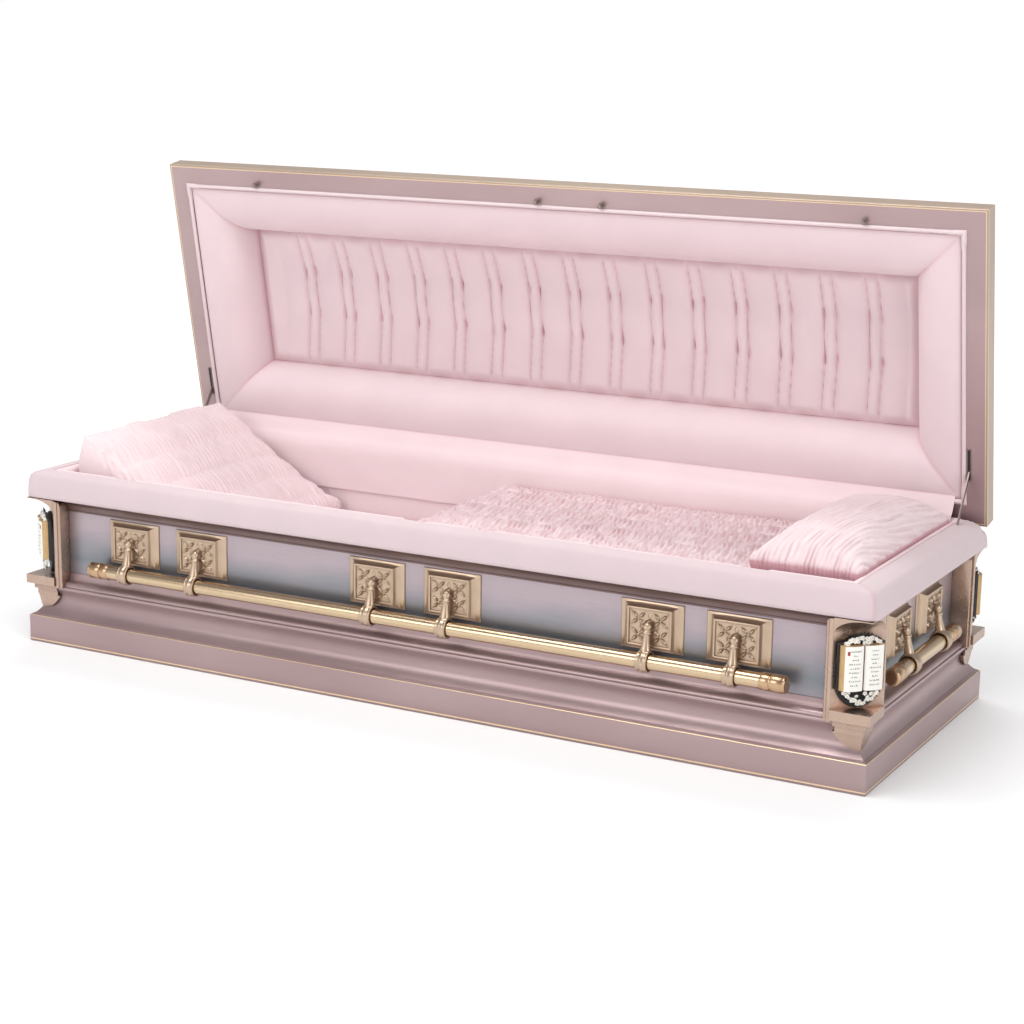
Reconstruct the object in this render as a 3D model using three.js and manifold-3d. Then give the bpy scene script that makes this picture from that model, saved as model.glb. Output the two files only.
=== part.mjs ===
// A full-couch steel casket shown open: moulded plinth, panelled body, corner niches with open books,
// swing-bar handles, a padded skirt over the rim and a shirred interior under a hinged lid.
// Millimetres, +Z up, +X along the length, +Y towards the hinge. The origin is the centre of the underside.
import * as THREE from 'three';
import { mergeVertices } from 'three/addons/utils/BufferGeometryUtils.js';
import Module from 'manifold-3d';

const wasm = await Module();
wasm.setup();

// Body and plinth
const LENGTH = 2110;
const WIDTH = 741;
const HALF_X = LENGTH / 2;
const HALF_Y = WIDTH / 2;
const SHEET = 1.5;
const GAP = 0.3;
// How far a cutting shape runs past the material that it cuts
const PAST = 9;
// How far joined shapes run into each other
const OVERLAP = 1;
const PLINTH = 64;
const MOULDING_TOP = 172;
const WALL_INSET = 40;
const END_EXTRA = 8;
const BODY_X = HALF_X - WALL_INSET - END_EXTRA;
const BODY_Y = HALF_Y - WALL_INSET;
const CORNICE_BOTTOM = 322;
const CORNICE_REACH = 24;
const RIM = 352;

// Lid, in its closed place: the flange lies at LID_SEAT and the crown rises above it
const LID_X = 1057;
const LID_Y = 357;
const LID_SEAT = 424;
const LIP = 45;
const CROWN = 165;
const FLANGE = 47;
const OPEN_ANGLE = THREE.MathUtils.degToRad(79.4);
const HINGE_Y = 335.8;
const HINGE_Z = 419.2;
const HINGE_HALF = 955;
const BARREL_RADIUS = 4;
const LEAF_THICK = 2;
const CATCH_AT = [-794, -6, 159, 787];
const CATCH_INSET = 39;
const CATCH_RADIUS = 5;
const CATCH_LENGTH = 18;

// Lid stays: flat blades beside the end walls, turning on a bracket on the rim
const STAY_X = 1016.5;
const STAY_Y = 250.5;
const STAY_Z = 405;
const STAY_LENGTH = 150;
const STAY_HALF_WIDTH = 4.5;
const STAY_THICK = 2.5;
const STAY_ANGLE = THREE.MathUtils.degToRad(57.3);
const STAY_SLOT = [104, 178];
const STAY_GUIDE = 4;
const STAY_NOTCH = [90, 274];
const STAY_NOTCH_FLOOR = 396;
const BRACKET_THICK = 2.5;
const BRACKET_HALF = 8;
const BRACKET_RISE = 6;

// Soft furnishing
const SKIRT_X = 1060;
const SKIRT_Y = 369;
const SKIRT_BOTTOM = 354.5;
const SKIRT_TOP = 418;
const SKIRT_BACK_TOP = 394.5;
const SKIRT_DEPTH = 39.4;
const SKIRT_END_DEPTH = 54;
const LINING_THICK = 22;
const LINING_TOP = 417;
const MATTRESS_TOP = 243;
const THROW_LEFT = -140;
const THROW_TOP = 379;
const ROLL_START = 60;
const ROLL_FLAT = 118;
const ROLL_INSET = 180;
const ROLL_DEPTH = 97;
const PANEL_BACK = 110;
const RIBS = 15;
const RIB_FIRST = -727;
const RIB_PITCH = 107.2;
const RIB_WIDTH = 29;
const PUFF = 13;

// Handles, seen from in front of a wall: out from the wall, and up from the floor
const LUG_Z = 266;
const LUG_FACE = [100, 82];
const LUG_BASE = [142, 104];
const LUG_DEPTH = 19;
const LUG_BORDER = 6;
const LUG_FIELD = 2.6;
const LEAF_LENGTH = 36;
const LEAF_WIDTH = 8;
const LEAF_ACROSS = 25;
const LEAF_UP = 18;
const SOCKET_RADIUS = 12.5;
const PIVOT_OUT = 26;
const PIVOT_Z = 270;
const BAR_OUT = 37;
const BAR_Z = 200;
const BAR_RADIUS = 16.5;
const NECK_END = -51;
const CAP_RADIUS = 18.6;
const RING_RADIUS = 23.5;
const RING_HALF = 10;
const SIDES = [
  { name: 'front', turn: 0, at: [0, -BODY_Y], lugs: [-762, -570, -95, 95, 570, 762], bar: 874, slide: 9 },
  { name: 'back', turn: Math.PI, at: [0, BODY_Y], lugs: [-762, -570, -95, 95, 570, 762], bar: 874, slide: 0 },
  { name: 'right', turn: Math.PI / 2, at: [BODY_X, 0], lugs: [-100, 100], bar: 203, slide: -12 },
  { name: 'left', turn: -Math.PI / 2, at: [-BODY_X, 0], lugs: [-100, 100], bar: 203, slide: 0 },
];

// Corner niches, measured inward from the plinth's corner; depth runs along the corner's diagonal
const NICHE_LEG = 81;
const NICHE_FRONT = 2;
const NICHE_FACE = (NICHE_LEG + NICHE_FRONT) / Math.SQRT2;
const CANOPY_FOOT = 318;
const CANOPY_TIP = 21 / Math.SQRT2;
const CANOPY_THICK = 2;
const SHELF_TOP = 165;
const SHELF_BOTTOM = 144;
const SHELF_OVERHANG = 3;
const SHELF_STEPS = [{ inset: 10, bottom: 130 }, { inset: 15.5, bottom: 116 }];
const CORBEL_INSET = 22.5;
const CORBEL_TIP = 82;
const BOARD_HALF = 52;
const BOARD_BOTTOM = 168;
const BOARD_TOP = 314;
const BOARD_THICK = 6;
const BOOK_BOTTOM = 208;
const BOOK_TOP = 299;
const BOOK_HALF = 46;
const BLOOM_RADIUS = 9.8;
const SPRAY_HALF = 30;
const CORNERS = [
  { name: 'front_right', flip: [1, 1] },
  { name: 'front_left', flip: [-1, 1] },
  { name: 'back_right', flip: [1, -1] },
  { name: 'back_left', flip: [-1, -1] },
];

// Materials
function finish(color, roughness, metalness) {
  return new THREE.MeshStandardMaterial({ color, roughness, metalness });
}

const MAUVE = finish(0xac9498, 0.35, 0.6);
const PANEL = finish(0x969ba2, 0.35, 0.7);
const BRONZE = finish(0xbea58c, 0.4, 0.8);
const GOLD = finish(0xd7be96, 0.3, 0.9);
const DARK_STEEL = finish(0x4a4444, 0.4, 0.9);
const PINK = finish(0xf0dce2, 0.9, 0);
const BOOK = finish(0xeeeae0, 0.7, 0);
const GASKET = finish(0xe0d4d2, 0.6, 0);

// Welds shared corners and drops the triangles that the welding leaves without area.
function weld(geometry) {
  const bare = geometry.clone();
  bare.deleteAttribute('normal');
  bare.deleteAttribute('uv');
  const merged = mergeVertices(bare, 1e-3);
  const corners = merged.index.array;
  const kept = [];
  for (let i = 0; i < corners.length; i += 3) {
    const [a, b, c] = corners.slice(i, i + 3);
    if (a !== b && b !== c && c !== a) kept.push(a, b, c);
  }
  merged.setIndex(kept);
  return merged;
}

function signedVolume(geometry) {
  const position = geometry.attributes.position;
  const [a, b, c] = [new THREE.Vector3(), new THREE.Vector3(), new THREE.Vector3()];
  const corners = geometry.index.array;
  let volume = 0;
  for (let i = 0; i < corners.length; i += 3) {
    a.fromBufferAttribute(position, corners[i]);
    b.fromBufferAttribute(position, corners[i + 1]);
    c.fromBufferAttribute(position, corners[i + 2]);
    volume += a.dot(b.cross(c)) / 6;
  }
  return volume;
}

// A closed geometry as a solid that can be joined and cut, with its faces pointing out.
function solid(geometry) {
  const welded = weld(geometry);
  const triVerts = Uint32Array.from(welded.index.array);
  if (signedVolume(welded) < 0) triVerts.reverse();
  const vertProperties = Float32Array.from(welded.attributes.position.array);
  return new wasm.Manifold(new wasm.Mesh({ numProp: 3, vertProperties, triVerts }));
}

function geometryOf(shape) {
  const mesh = shape.getMesh();
  const geometry = new THREE.BufferGeometry();
  geometry.setAttribute('position', new THREE.BufferAttribute(mesh.vertProperties, 3));
  geometry.setIndex(new THREE.BufferAttribute(mesh.triVerts, 1));
  return geometry;
}

const join = (shapes) => shapes.reduce((whole, shape) => whole.add(shape));
const cut = (shape, tools) => tools.reduce((left, tool) => left.subtract(tool), shape);

// A moulding with mitred corners: [inset, height] points turned in four steps, then stretched from a
// square to the rectangle. endInset gives the inset on the two ends where it differs from the sides.
function frame(profile, halfX, halfY, endInset = (inset) => inset) {
  const points = profile.map(([inset, z]) => new THREE.Vector2(inset, z));
  const lathe = new THREE.LatheGeometry(points, 4, Math.PI / 4);
  const position = lathe.attributes.position;
  for (let i = 0; i < position.count; i += 1) {
    const turn = Math.PI / 4 + Math.floor(i / points.length) * Math.PI / 2;
    const [inset, z] = profile[i % points.length];
    const x = Math.sign(Math.sin(turn)) * (halfX - endInset(inset));
    const y = Math.sign(Math.cos(turn)) * (halfY - inset);
    position.setXYZ(i, x, y, z);
  }
  return solid(lathe);
}

const loop = (profile) => [...profile, profile[0]];

// A stack of rectangles, each [x0, x1, y0, y1, z], as a geometry.
function stack(levels) {
  const steps = levels.length - 1;
  const box = new THREE.BoxGeometry(1, 1, 1, 1, 1, steps);
  const position = box.attributes.position;
  for (let i = 0; i < position.count; i += 1) {
    const [x0, x1, y0, y1, z] = levels[Math.round((position.getZ(i) + 0.5) * steps)];
    const x = THREE.MathUtils.lerp(x0, x1, position.getX(i) + 0.5);
    const y = THREE.MathUtils.lerp(y0, y1, position.getY(i) + 0.5);
    position.setXYZ(i, x, y, z);
  }
  return box;
}

// Two numbers with the lower one first
const between = (a, b) => [Math.min(a, b), Math.max(a, b)];
const block = (x0, x1, y0, y1, z0, z1) => solid(stack([[x0, x1, y0, y1, z0], [x0, x1, y0, y1, z1]]));

// A plan outline raised from z0 to z1.
function prism(outline, z0, z1) {
  const shape = new THREE.Shape(outline.map(([x, y]) => new THREE.Vector2(x, y)));
  const geometry = new THREE.ExtrudeGeometry(shape, { depth: z1 - z0, bevelEnabled: false });
  return geometry.translate(0, 0, z0);
}

// A straight bar of a [y, z] outline, running along X from x0 to x1.
function beam(outline, x0, x1) {
  const alongX = new THREE.Matrix4().makeBasis(
    new THREE.Vector3(0, 1, 0), new THREE.Vector3(0, 0, 1), new THREE.Vector3(1, 0, 0));
  return prism(outline, 0, x1 - x0).applyMatrix4(alongX).translate(x0, 0, 0);
}

function roundRod(radius, x0, x1, y, z, sides) {
  const rod = new THREE.CylinderGeometry(radius, radius, x1 - x0, sides);
  return solid(rod.rotateZ(Math.PI / 2).translate((x0 + x1) / 2, y, z));
}

// The points of a path with its round stretches cut into steps.
const pointsOf = (path, steps) => path.getPoints(steps).map((point) => [point.x, point.y]);

// The same polyline moved sideways to its left by a distance.
function sideways(points, distance) {
  return points.map((point, i) => {
    const before = points[Math.max(i - 1, 0)];
    const after = points[Math.min(i + 1, points.length - 1)];
    const along = new THREE.Vector2(after[0] - before[0], after[1] - before[1]).normalize();
    return [point[0] - along.y * distance, point[1] + along.x * distance];
  });
}

const casket = new THREE.Group();

function piece(parent, name, shape, material) {
  const mesh = new THREE.Mesh(geometryOf(shape), material);
  mesh.name = name;
  parent.add(mesh);
}

// Base moulding: a sheet ring with a foot flange, an upright plinth, a deep cove, a bead and a ledge
const mouldingEndInset = (inset) => inset + END_EXTRA * THREE.MathUtils.clamp((inset - 32) / 6, 0, 1);

function mouldingProfile() {
  const path = new THREE.Path();
  path.moveTo(0, PLINTH);
  path.lineTo(10, PLINTH + 5);
  path.quadraticCurveTo(46, 100, 13, 134);
  path.lineTo(12.6, 139);
  path.lineTo(16, 142.5);
  path.quadraticCurveTo(18, 152, 32, 154.3);
  path.quadraticCurveTo(37.5, 157, 38, MOULDING_TOP);
  return pointsOf(path, 5);
}

function baseMoulding() {
  const foot = WALL_INSET - GAP;
  const face = mouldingProfile();
  const back = sideways(face, -SHEET).reverse();
  const inside = back.slice(0, -1);
  const ring = [
    [foot, 0], [0, 0], ...face, ...inside,
    [SHEET, PLINTH - SHEET], [SHEET, SHEET], [foot, SHEET]];
  return frame(loop(ring), HALF_X, HALF_Y, mouldingEndInset);
}

// The moulding's outside with a little clearance, filled inward, for the corner pieces to be fitted to
function mouldingClearance() {
  const fill = 140;
  const face = sideways([[0, 0], ...mouldingProfile()], GAP);
  const ring = [...face, [WALL_INSET, MOULDING_TOP + GAP], [fill, MOULDING_TOP + GAP], [fill, 0]];
  return frame(loop(ring), HALF_X, HALF_Y, mouldingEndInset);
}

// Body shell: a sheet tray with a coved cornice under its rim, the hinge's fixed leaf and the stays' brackets
function bodyShell() {
  const cornice = new THREE.Path();
  cornice.moveTo(-2.5, CORNICE_BOTTOM + 1);
  cornice.lineTo(-3, CORNICE_BOTTOM + 5);
  cornice.quadraticCurveTo(-5, RIM - 5, -CORNICE_REACH, RIM - 2);
  const outside = [
    [BODY_Y, 0], [0, 0], [0, CORNICE_BOTTOM], ...pointsOf(cornice, 5), [-CORNICE_REACH, RIM], [BODY_Y, RIM]];
  const inside = [[BODY_Y, SHEET], [SHEET, SHEET], [SHEET, RIM + PAST], [BODY_Y, RIM + PAST]];
  const leafFace = HINGE_Y - BARREL_RADIUS;
  const cornerCuts = CORNERS.flatMap(({ flip }) => cornerCutters(flip));
  const tray = cut(frame(outside, BODY_X, BODY_Y), [frame(inside, BODY_X, BODY_Y), ...cornerCuts]);
  const leaf = block(-HINGE_HALF, HINGE_HALF, leafFace, leafFace + LEAF_THICK, RIM - OVERLAP, HINGE_Z);
  const barrel = roundRod(BARREL_RADIUS, -HINGE_HALF, HINGE_HALF, HINGE_Y, HINGE_Z, 8);
  const brackets = [-1, 1].map((end) => {
    const inner = STAY_X + STAY_THICK / 2 + GAP;
    const xs = between(end * inner, end * (inner + BRACKET_THICK));
    return block(...xs, STAY_Y - BRACKET_HALF, STAY_Y + BRACKET_HALF, RIM - OVERLAP, STAY_Z + BRACKET_RISE);
  });
  return join([tray, leaf, barrel, ...brackets]);
}

// Clears the cornice away at a corner, along the side and along the end, where the niche stands
function cornerCutters([fx, fy]) {
  const reach = NICHE_LEG + GAP;
  const low = CORNICE_BOTTOM - OVERLAP;
  const sideXs = between(fx * (HALF_X - reach), fx * (HALF_X + PAST));
  const sideYs = between(-fy * BODY_Y, -fy * (HALF_Y + PAST));
  const endXs = between(fx * BODY_X, fx * (HALF_X + PAST));
  const endYs = between(-fy * (HALF_Y - reach), -fy * (HALF_Y + PAST));
  return [block(...sideXs, ...sideYs, low, RIM + PAST), block(...endXs, ...endYs, low, RIM + PAST)];
}

// Corner niche: a plate across the corner under a coved canopy, over a shelf, two steps and a corbel
const NICHE_SIDE = WALL_INSET - GAP;
const NICHE_END = WALL_INSET + END_EXTRA - GAP;

// The corner's plan outside the body's walls, from a distance inside the plinth to a distance along each wall
function cornerPlan(inset, reach, z0, z1) {
  const plan = [
    [reach, NICHE_SIDE], [reach, inset], [inset, inset],
    [inset, reach], [NICHE_END, reach], [NICHE_END, NICHE_SIDE]];
  return prism(plan, z0, z1);
}

// Clears the space in front of the plate, up to the canopy's cove
function nicheCutter() {
  const outside = -NICHE_LEG;
  const top = RIM - CANOPY_THICK;
  const curve = new THREE.Path();
  curve.moveTo(outside, SHELF_TOP);
  curve.lineTo(NICHE_FACE, SHELF_TOP);
  curve.lineTo(NICHE_FACE, CANOPY_FOOT);
  const reach = NICHE_FACE - CANOPY_TIP;
  curve.absellipse(CANOPY_TIP, CANOPY_FOOT, reach, top - CANOPY_FOOT, 0, Math.PI / 2, false, 0);
  curve.lineTo(outside, top);
  return beam(pointsOf(curve, 5), -NICHE_LEG, NICHE_LEG);
}

function nicheCorbel(top, topInset) {
  const levels = 5;
  const tipSpan = 4;
  const sections = [];
  for (let i = 0; i <= levels; i += 1) {
    const t = i / levels;
    const near = THREE.MathUtils.lerp(CORBEL_INSET, topInset, t);
    const span = THREE.MathUtils.lerp(tipSpan, NICHE_LEG - topInset, Math.sqrt(t));
    sections.push([near, near + span, near, near + span, THREE.MathUtils.lerp(CORBEL_TIP, top, t)]);
  }
  return stack(sections);
}

// From the plinth's corner inward, to the front right corner of the casket
const toCorner = new THREE.Matrix4().makeBasis(
  new THREE.Vector3(-1, 0, 0), new THREE.Vector3(0, 1, 0), new THREE.Vector3(0, 0, 1));
toCorner.setPosition(HALF_X, -HALF_Y, 0);
const atCorner = (geometry) => solid(geometry.applyMatrix4(toCorner));
// From [across, along the diagonal, up] to the front right corner
const atDiagonal = (geometry) => solid(geometry.rotateZ(Math.PI / 4).translate(HALF_X, -HALF_Y, 0));

function cornerNiche() {
  const plate = cut(
    atCorner(cornerPlan(NICHE_FRONT, NICHE_LEG, SHELF_TOP - OVERLAP, RIM)), [atDiagonal(nicheCutter())]);
  const shapes = [plate, atCorner(cornerPlan(-SHELF_OVERHANG, NICHE_LEG, SHELF_BOTTOM, SHELF_TOP))];
  let top = SHELF_BOTTOM;
  let reach = NICHE_LEG;
  for (const { inset, bottom } of SHELF_STEPS) {
    reach -= SHELF_OVERHANG;
    shapes.push(atCorner(cornerPlan(inset, reach, bottom, top + OVERLAP)));
    top = bottom;
  }
  shapes.push(atCorner(nicheCorbel(top + OVERLAP, SHELF_STEPS.at(-1).inset + OVERLAP)));
  return cut(join(shapes), [mouldingClearance()]);
}

// Open book on an oval backing board, with a spray of flowers above and below it
function bookInsert() {
  const boardFront = NICHE_FACE - BOARD_THICK;
  const halfPlan = [[3, 30.5], [20, 27.5], [41, 33], [BOOK_HALF, 42], [BOOK_HALF, boardFront + OVERLAP]];
  const plan = [[0, 34], ...halfPlan, ...halfPlan.slice().reverse().map(([x, y]) => [-x, y])];
  const book = atDiagonal(prism(plan, BOOK_BOTTOM, BOOK_TOP));
  const oval = new THREE.EllipseCurve(
    0, (BOARD_BOTTOM + BOARD_TOP) / 2, BOARD_HALF, (BOARD_TOP - BOARD_BOTTOM) / 2);
  const board = prism(pointsOf(oval, 12).slice(0, -1), GAP - NICHE_FACE, -boardFront);
  const shapes = [book, atDiagonal(board.rotateX(Math.PI / 2))];
  const spray = 4;
  for (let i = 0; i < spray; i += 1) {
    const across = (i / (spray - 1) - 0.5) * 2;
    const arch = BLOOM_RADIUS * (1 - across * across);
    for (const z of [BOOK_TOP + 3 + arch, BOOK_BOTTOM - 4 - arch]) {
      const bloom = new THREE.OctahedronGeometry(BLOOM_RADIUS, 0);
      shapes.push(atDiagonal(bloom.translate(across * SPRAY_HALF, boardFront - 0.45 * BLOOM_RADIUS, z)));
    }
  }
  return join(shapes);
}

// A front right corner piece mirrored to another corner.
const flipped = (shape, [fx, fy]) => solid(geometryOf(shape).scale(fx, fy, 1));

// Two long leaves crossing, as a low four-armed star that points out of the wall.
function leafCross() {
  const tips = 4;
  const star = new THREE.ConeGeometry(1, LUG_FIELD, 2 * tips, 1);
  const position = star.attributes.position;
  for (let i = 0; i < position.count; i += 1) {
    const reach = Math.hypot(position.getX(i), position.getZ(i));
    const turn = Math.atan2(position.getZ(i), position.getX(i));
    const tip = Math.cos(tips * turn) > 0;
    const size = reach * (tip ? LEAF_LENGTH : LEAF_WIDTH) / 2;
    position.setX(i, size * Math.cos(turn));
    position.setZ(i, size * Math.sin(turn));
  }
  return star.rotateY(Math.PI / 4).scale(1.15, 1, 0.85).rotateX(Math.PI);
}

// Handle lug: a cove-sided plate with a bordered field of crossed leaves and a socket for the arm's ball
function lugPlate() {
  const coves = [[0, 0], [0.03, 0.15], [0.6, 0.36], [1, 1]];
  const levels = coves.map(([inward, out]) => {
    const w = THREE.MathUtils.lerp(LUG_BASE[0], LUG_FACE[0], inward) / 2;
    const h = THREE.MathUtils.lerp(LUG_BASE[1], LUG_FACE[1], inward) / 2;
    return [-w, w, LUG_Z - h, LUG_Z + h, THREE.MathUtils.lerp(GAP, LUG_DEPTH, out)];
  });
  const plate = solid(stack(levels).rotateX(Math.PI / 2));
  const [w, h] = LUG_FACE.map((size) => size / 2 - LUG_BORDER);
  const floor = LUG_FIELD - LUG_DEPTH;
  const field = block(-w, w, -LUG_DEPTH - PAST, floor, LUG_Z - h, LUG_Z + h);
  const leaves = [];
  for (const across of [-1, 1]) {
    for (const up of [-1, 1]) {
      leaves.push(solid(leafCross().translate(across * LEAF_ACROSS, floor, LUG_Z + up * LEAF_UP)));
    }
  }
  const socket = new THREE.CylinderGeometry(SOCKET_RADIUS, SOCKET_RADIUS, 12, 6);
  const bore = solid(socket.translate(0, -LUG_DEPTH - 1, PIVOT_Z));
  return cut(join([cut(plate, [field]), ...leaves]), [bore]);
}

// Handle arm: a ball and collar above a flared neck that ends in a ring round the bar
function handleArm() {
  const lean = Math.atan2(BAR_OUT - PIVOT_OUT, PIVOT_Z - BAR_Z);
  const neck = [[0, 10], [9, 5], [9, -4], [6.5, -8], [8.5, -11], [5, -18], [9, NECK_END], [0, NECK_END]];
  const stem = new THREE.LatheGeometry(neck.map(([r, z]) => new THREE.Vector2(r, z)), 5);
  stem.rotateX(Math.PI / 2).rotateX(-lean).translate(0, -PIVOT_OUT, PIVOT_Z);
  const hole = CAP_RADIUS;
  const section = [[hole, -RING_HALF], [RING_RADIUS, 0], [hole, RING_HALF], [hole, -RING_HALF]];
  const ring = new THREE.LatheGeometry(section.map(([r, x]) => new THREE.Vector2(r, x)), 8);
  ring.rotateZ(-Math.PI / 2).translate(0, -BAR_OUT, BAR_Z);
  return join([solid(stem), solid(ring)]);
}

// Handle bar with a grooved, domed cap on each end
function handleBar(half) {
  const cap = [
    [BAR_RADIUS, 56], [CAP_RADIUS, 54], [BAR_RADIUS, 36],
    [CAP_RADIUS, 33], [CAP_RADIUS, 9], [0, 0]];
  const right = cap.map(([r, back]) => new THREE.Vector2(r, half - back));
  const left = right.map((point) => new THREE.Vector2(point.x, -point.y)).reverse();
  const bar = new THREE.LatheGeometry([...left, ...right], 10);
  return solid(bar.rotateZ(-Math.PI / 2).translate(0, -BAR_OUT, BAR_Z));
}

function addHandles() {
  const plate = geometryOf(lugPlate());
  const arm = geometryOf(handleArm());
  for (const { name, turn, at, lugs, bar, slide } of SIDES) {
    const side = new THREE.Group();
    side.position.set(at[0], at[1], 0);
    side.rotation.z = turn;
    casket.add(side);
    lugs.forEach((x, i) => {
      for (const [kind, geometry] of [['lug', plate], ['arm', arm]]) {
        const mesh = new THREE.Mesh(geometry, BRONZE);
        mesh.name = `${kind}_${name}_${i + 1}`;
        mesh.position.x = x;
        side.add(mesh);
      }
    });
    const rod = new THREE.Mesh(geometryOf(handleBar(bar)), GOLD);
    rod.name = `bar_${name}`;
    rod.position.x = slide;
    side.add(rod);
  }
}

// Padded skirt over the rim, lower along the back where the lid's edge turns
function extendover() {
  const path = new THREE.Path();
  path.moveTo(0, SKIRT_BOTTOM);
  path.quadraticCurveTo(0.5, SKIRT_TOP - 12, 12, SKIRT_TOP - 8);
  path.quadraticCurveTo(24, SKIRT_TOP, SKIRT_DEPTH, SKIRT_TOP);
  const ring = [...pointsOf(path, 4), [SKIRT_DEPTH, RIM + 0.4], [16, RIM + 0.4]];
  const endInset = (inset) => inset * SKIRT_END_DEPTH / SKIRT_DEPTH;
  const over = SKIRT_TOP + PAST;
  const under = RIM - PAST;
  const clear = 0.6;
  const cuts = [
    block(-SKIRT_X - PAST, SKIRT_X + PAST, BODY_Y, SKIRT_Y + PAST, SKIRT_BACK_TOP, over),
    block(-HINGE_HALF - PAST, HINGE_HALF + PAST, BODY_Y - PAST, HINGE_Y + clear, under, over)];
  for (const end of [-1, 1]) {
    const outer = end * (STAY_X + STAY_THICK / 2 + GAP + BRACKET_THICK + 2);
    cuts.push(block(...between(end * (BODY_X - 4), outer), ...STAY_NOTCH, STAY_NOTCH_FLOOR, over));
    const post = between(end * (STAY_X - 2), outer);
    cuts.push(block(...post, STAY_Y - BRACKET_HALF - 2, STAY_Y + BRACKET_HALF + 2, under, over));
  }
  return cut(frame(loop(ring), SKIRT_X, SKIRT_Y, endInset), cuts);
}

// Wall lining, rolled over at the top, with pockets for the lid's catches along the front
function bodyLining() {
  const halfX = BODY_X - SHEET - GAP;
  const halfY = BODY_Y - SHEET - GAP;
  const path = new THREE.Path();
  path.moveTo(0, LINING_TOP - 6);
  path.quadraticCurveTo(1, LINING_TOP, 8, LINING_TOP);
  path.quadraticCurveTo(LINING_THICK, LINING_TOP - 1, LINING_THICK, LINING_TOP - 26);
  const ring = [[0, SHEET + GAP], ...pointsOf(path, 4), [LINING_THICK, SHEET + GAP]];
  const pocket = 10;
  const pockets = CATCH_AT.map((x) => {
    const y = CATCH_INSET - LID_Y;
    const ys = [-halfY - PAST, y + CATCH_RADIUS + 6];
    return block(x - pocket, x + pocket, ...ys, LID_SEAT - CATCH_LENGTH - 5, LINING_TOP + PAST);
  });
  return cut(frame(loop(ring), halfX, halfY), pockets);
}

const BED_X = BODY_X - SHEET - LINING_THICK - 3;
const BED_Y = BODY_Y - SHEET - LINING_THICK - 3;

function mattress() {
  const base = SHEET + GAP;
  const crown = [
    [BED_Y, base], [0, base], [0, MATTRESS_TOP - 20], [14, MATTRESS_TOP], [BED_Y, MATTRESS_TOP]];
  return frame(crown, BED_X, BED_Y);
}

// A soft block: its top follows height(u, v) with u along X and v across, both from 0 to 1.
function softBlock(x0, x1, halfY, base, height, stepsX, stepsY) {
  const box = new THREE.BoxGeometry(1, 1, 1, stepsX, stepsY, 1);
  const position = box.attributes.position;
  for (let i = 0; i < position.count; i += 1) {
    const u = position.getX(i) + 0.5;
    const v = position.getY(i) + 0.5;
    const z = position.getZ(i) < 0 ? base : height(u, v);
    position.setXYZ(i, THREE.MathUtils.lerp(x0, x1, u), (2 * v - 1) * halfY, z);
  }
  return solid(box);
}

// How far the top of a cushion has filled out at a place between two of its edges, from 0 to 1
const crowned = (t, power) => 1 - Math.abs(2 * t - 1) ** power;

function footThrow() {
  const height = (u, v) => {
    const head = THREE.MathUtils.smoothstep(u, 0, 0.05);
    const foot = THREE.MathUtils.smoothstep(1 - u, 0, 0.02);
    const across = 0.86 + 0.14 * crowned(v, 4);
    const edge = MATTRESS_TOP + 30;
    return edge + (THROW_TOP - edge) * head * (0.85 + 0.15 * foot) * across;
  };
  return softBlock(THROW_LEFT, BED_X, BED_Y - 1, MATTRESS_TOP + GAP, height, 9, 4);
}

// Head pillow: highest against the head end, running down to the mattress
function headPillow() {
  const height = (u, v) => {
    const slope = THREE.MathUtils.lerp(172, 26, THREE.MathUtils.smoothstep(u, 0.12, 1.05));
    const across = 0.55 + 0.45 * crowned(v, 6);
    const head = 0.9 + 0.1 * THREE.MathUtils.smoothstep(u, 0, 0.12);
    return MATTRESS_TOP + 10 + slope * across * head;
  };
  return softBlock(-BED_X + 4, -540, BED_Y - 6, MATTRESS_TOP + GAP, height, 6, 4);
}

function footPillow() {
  const height = (u, v) => THROW_TOP + 14 + 26 * crowned(u, 3) * crowned(v, 4);
  return softBlock(700, BED_X - 4, BED_Y - 6, THROW_TOP + GAP, height, 4, 4);
}

// Lid shell: a lipped sheet crown with a flat flange inside its edge, the hinge's moving leaf and the catches
function crownProfile(skin) {
  const path = new THREE.Path();
  path.moveTo(skin, LIP);
  path.lineTo(skin + 5, LIP + 3);
  path.quadraticCurveTo(skin + 12, LIP + 36, skin + 44, LIP + 44 - skin);
  path.lineTo(skin + 48, LIP + 48 - skin);
  path.quadraticCurveTo(skin + 120, CROWN - 14 - skin, LID_Y, CROWN - skin);
  return pointsOf(path, 5).map(([inset, z]) => [inset, LID_SEAT + z]);
}

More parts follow.
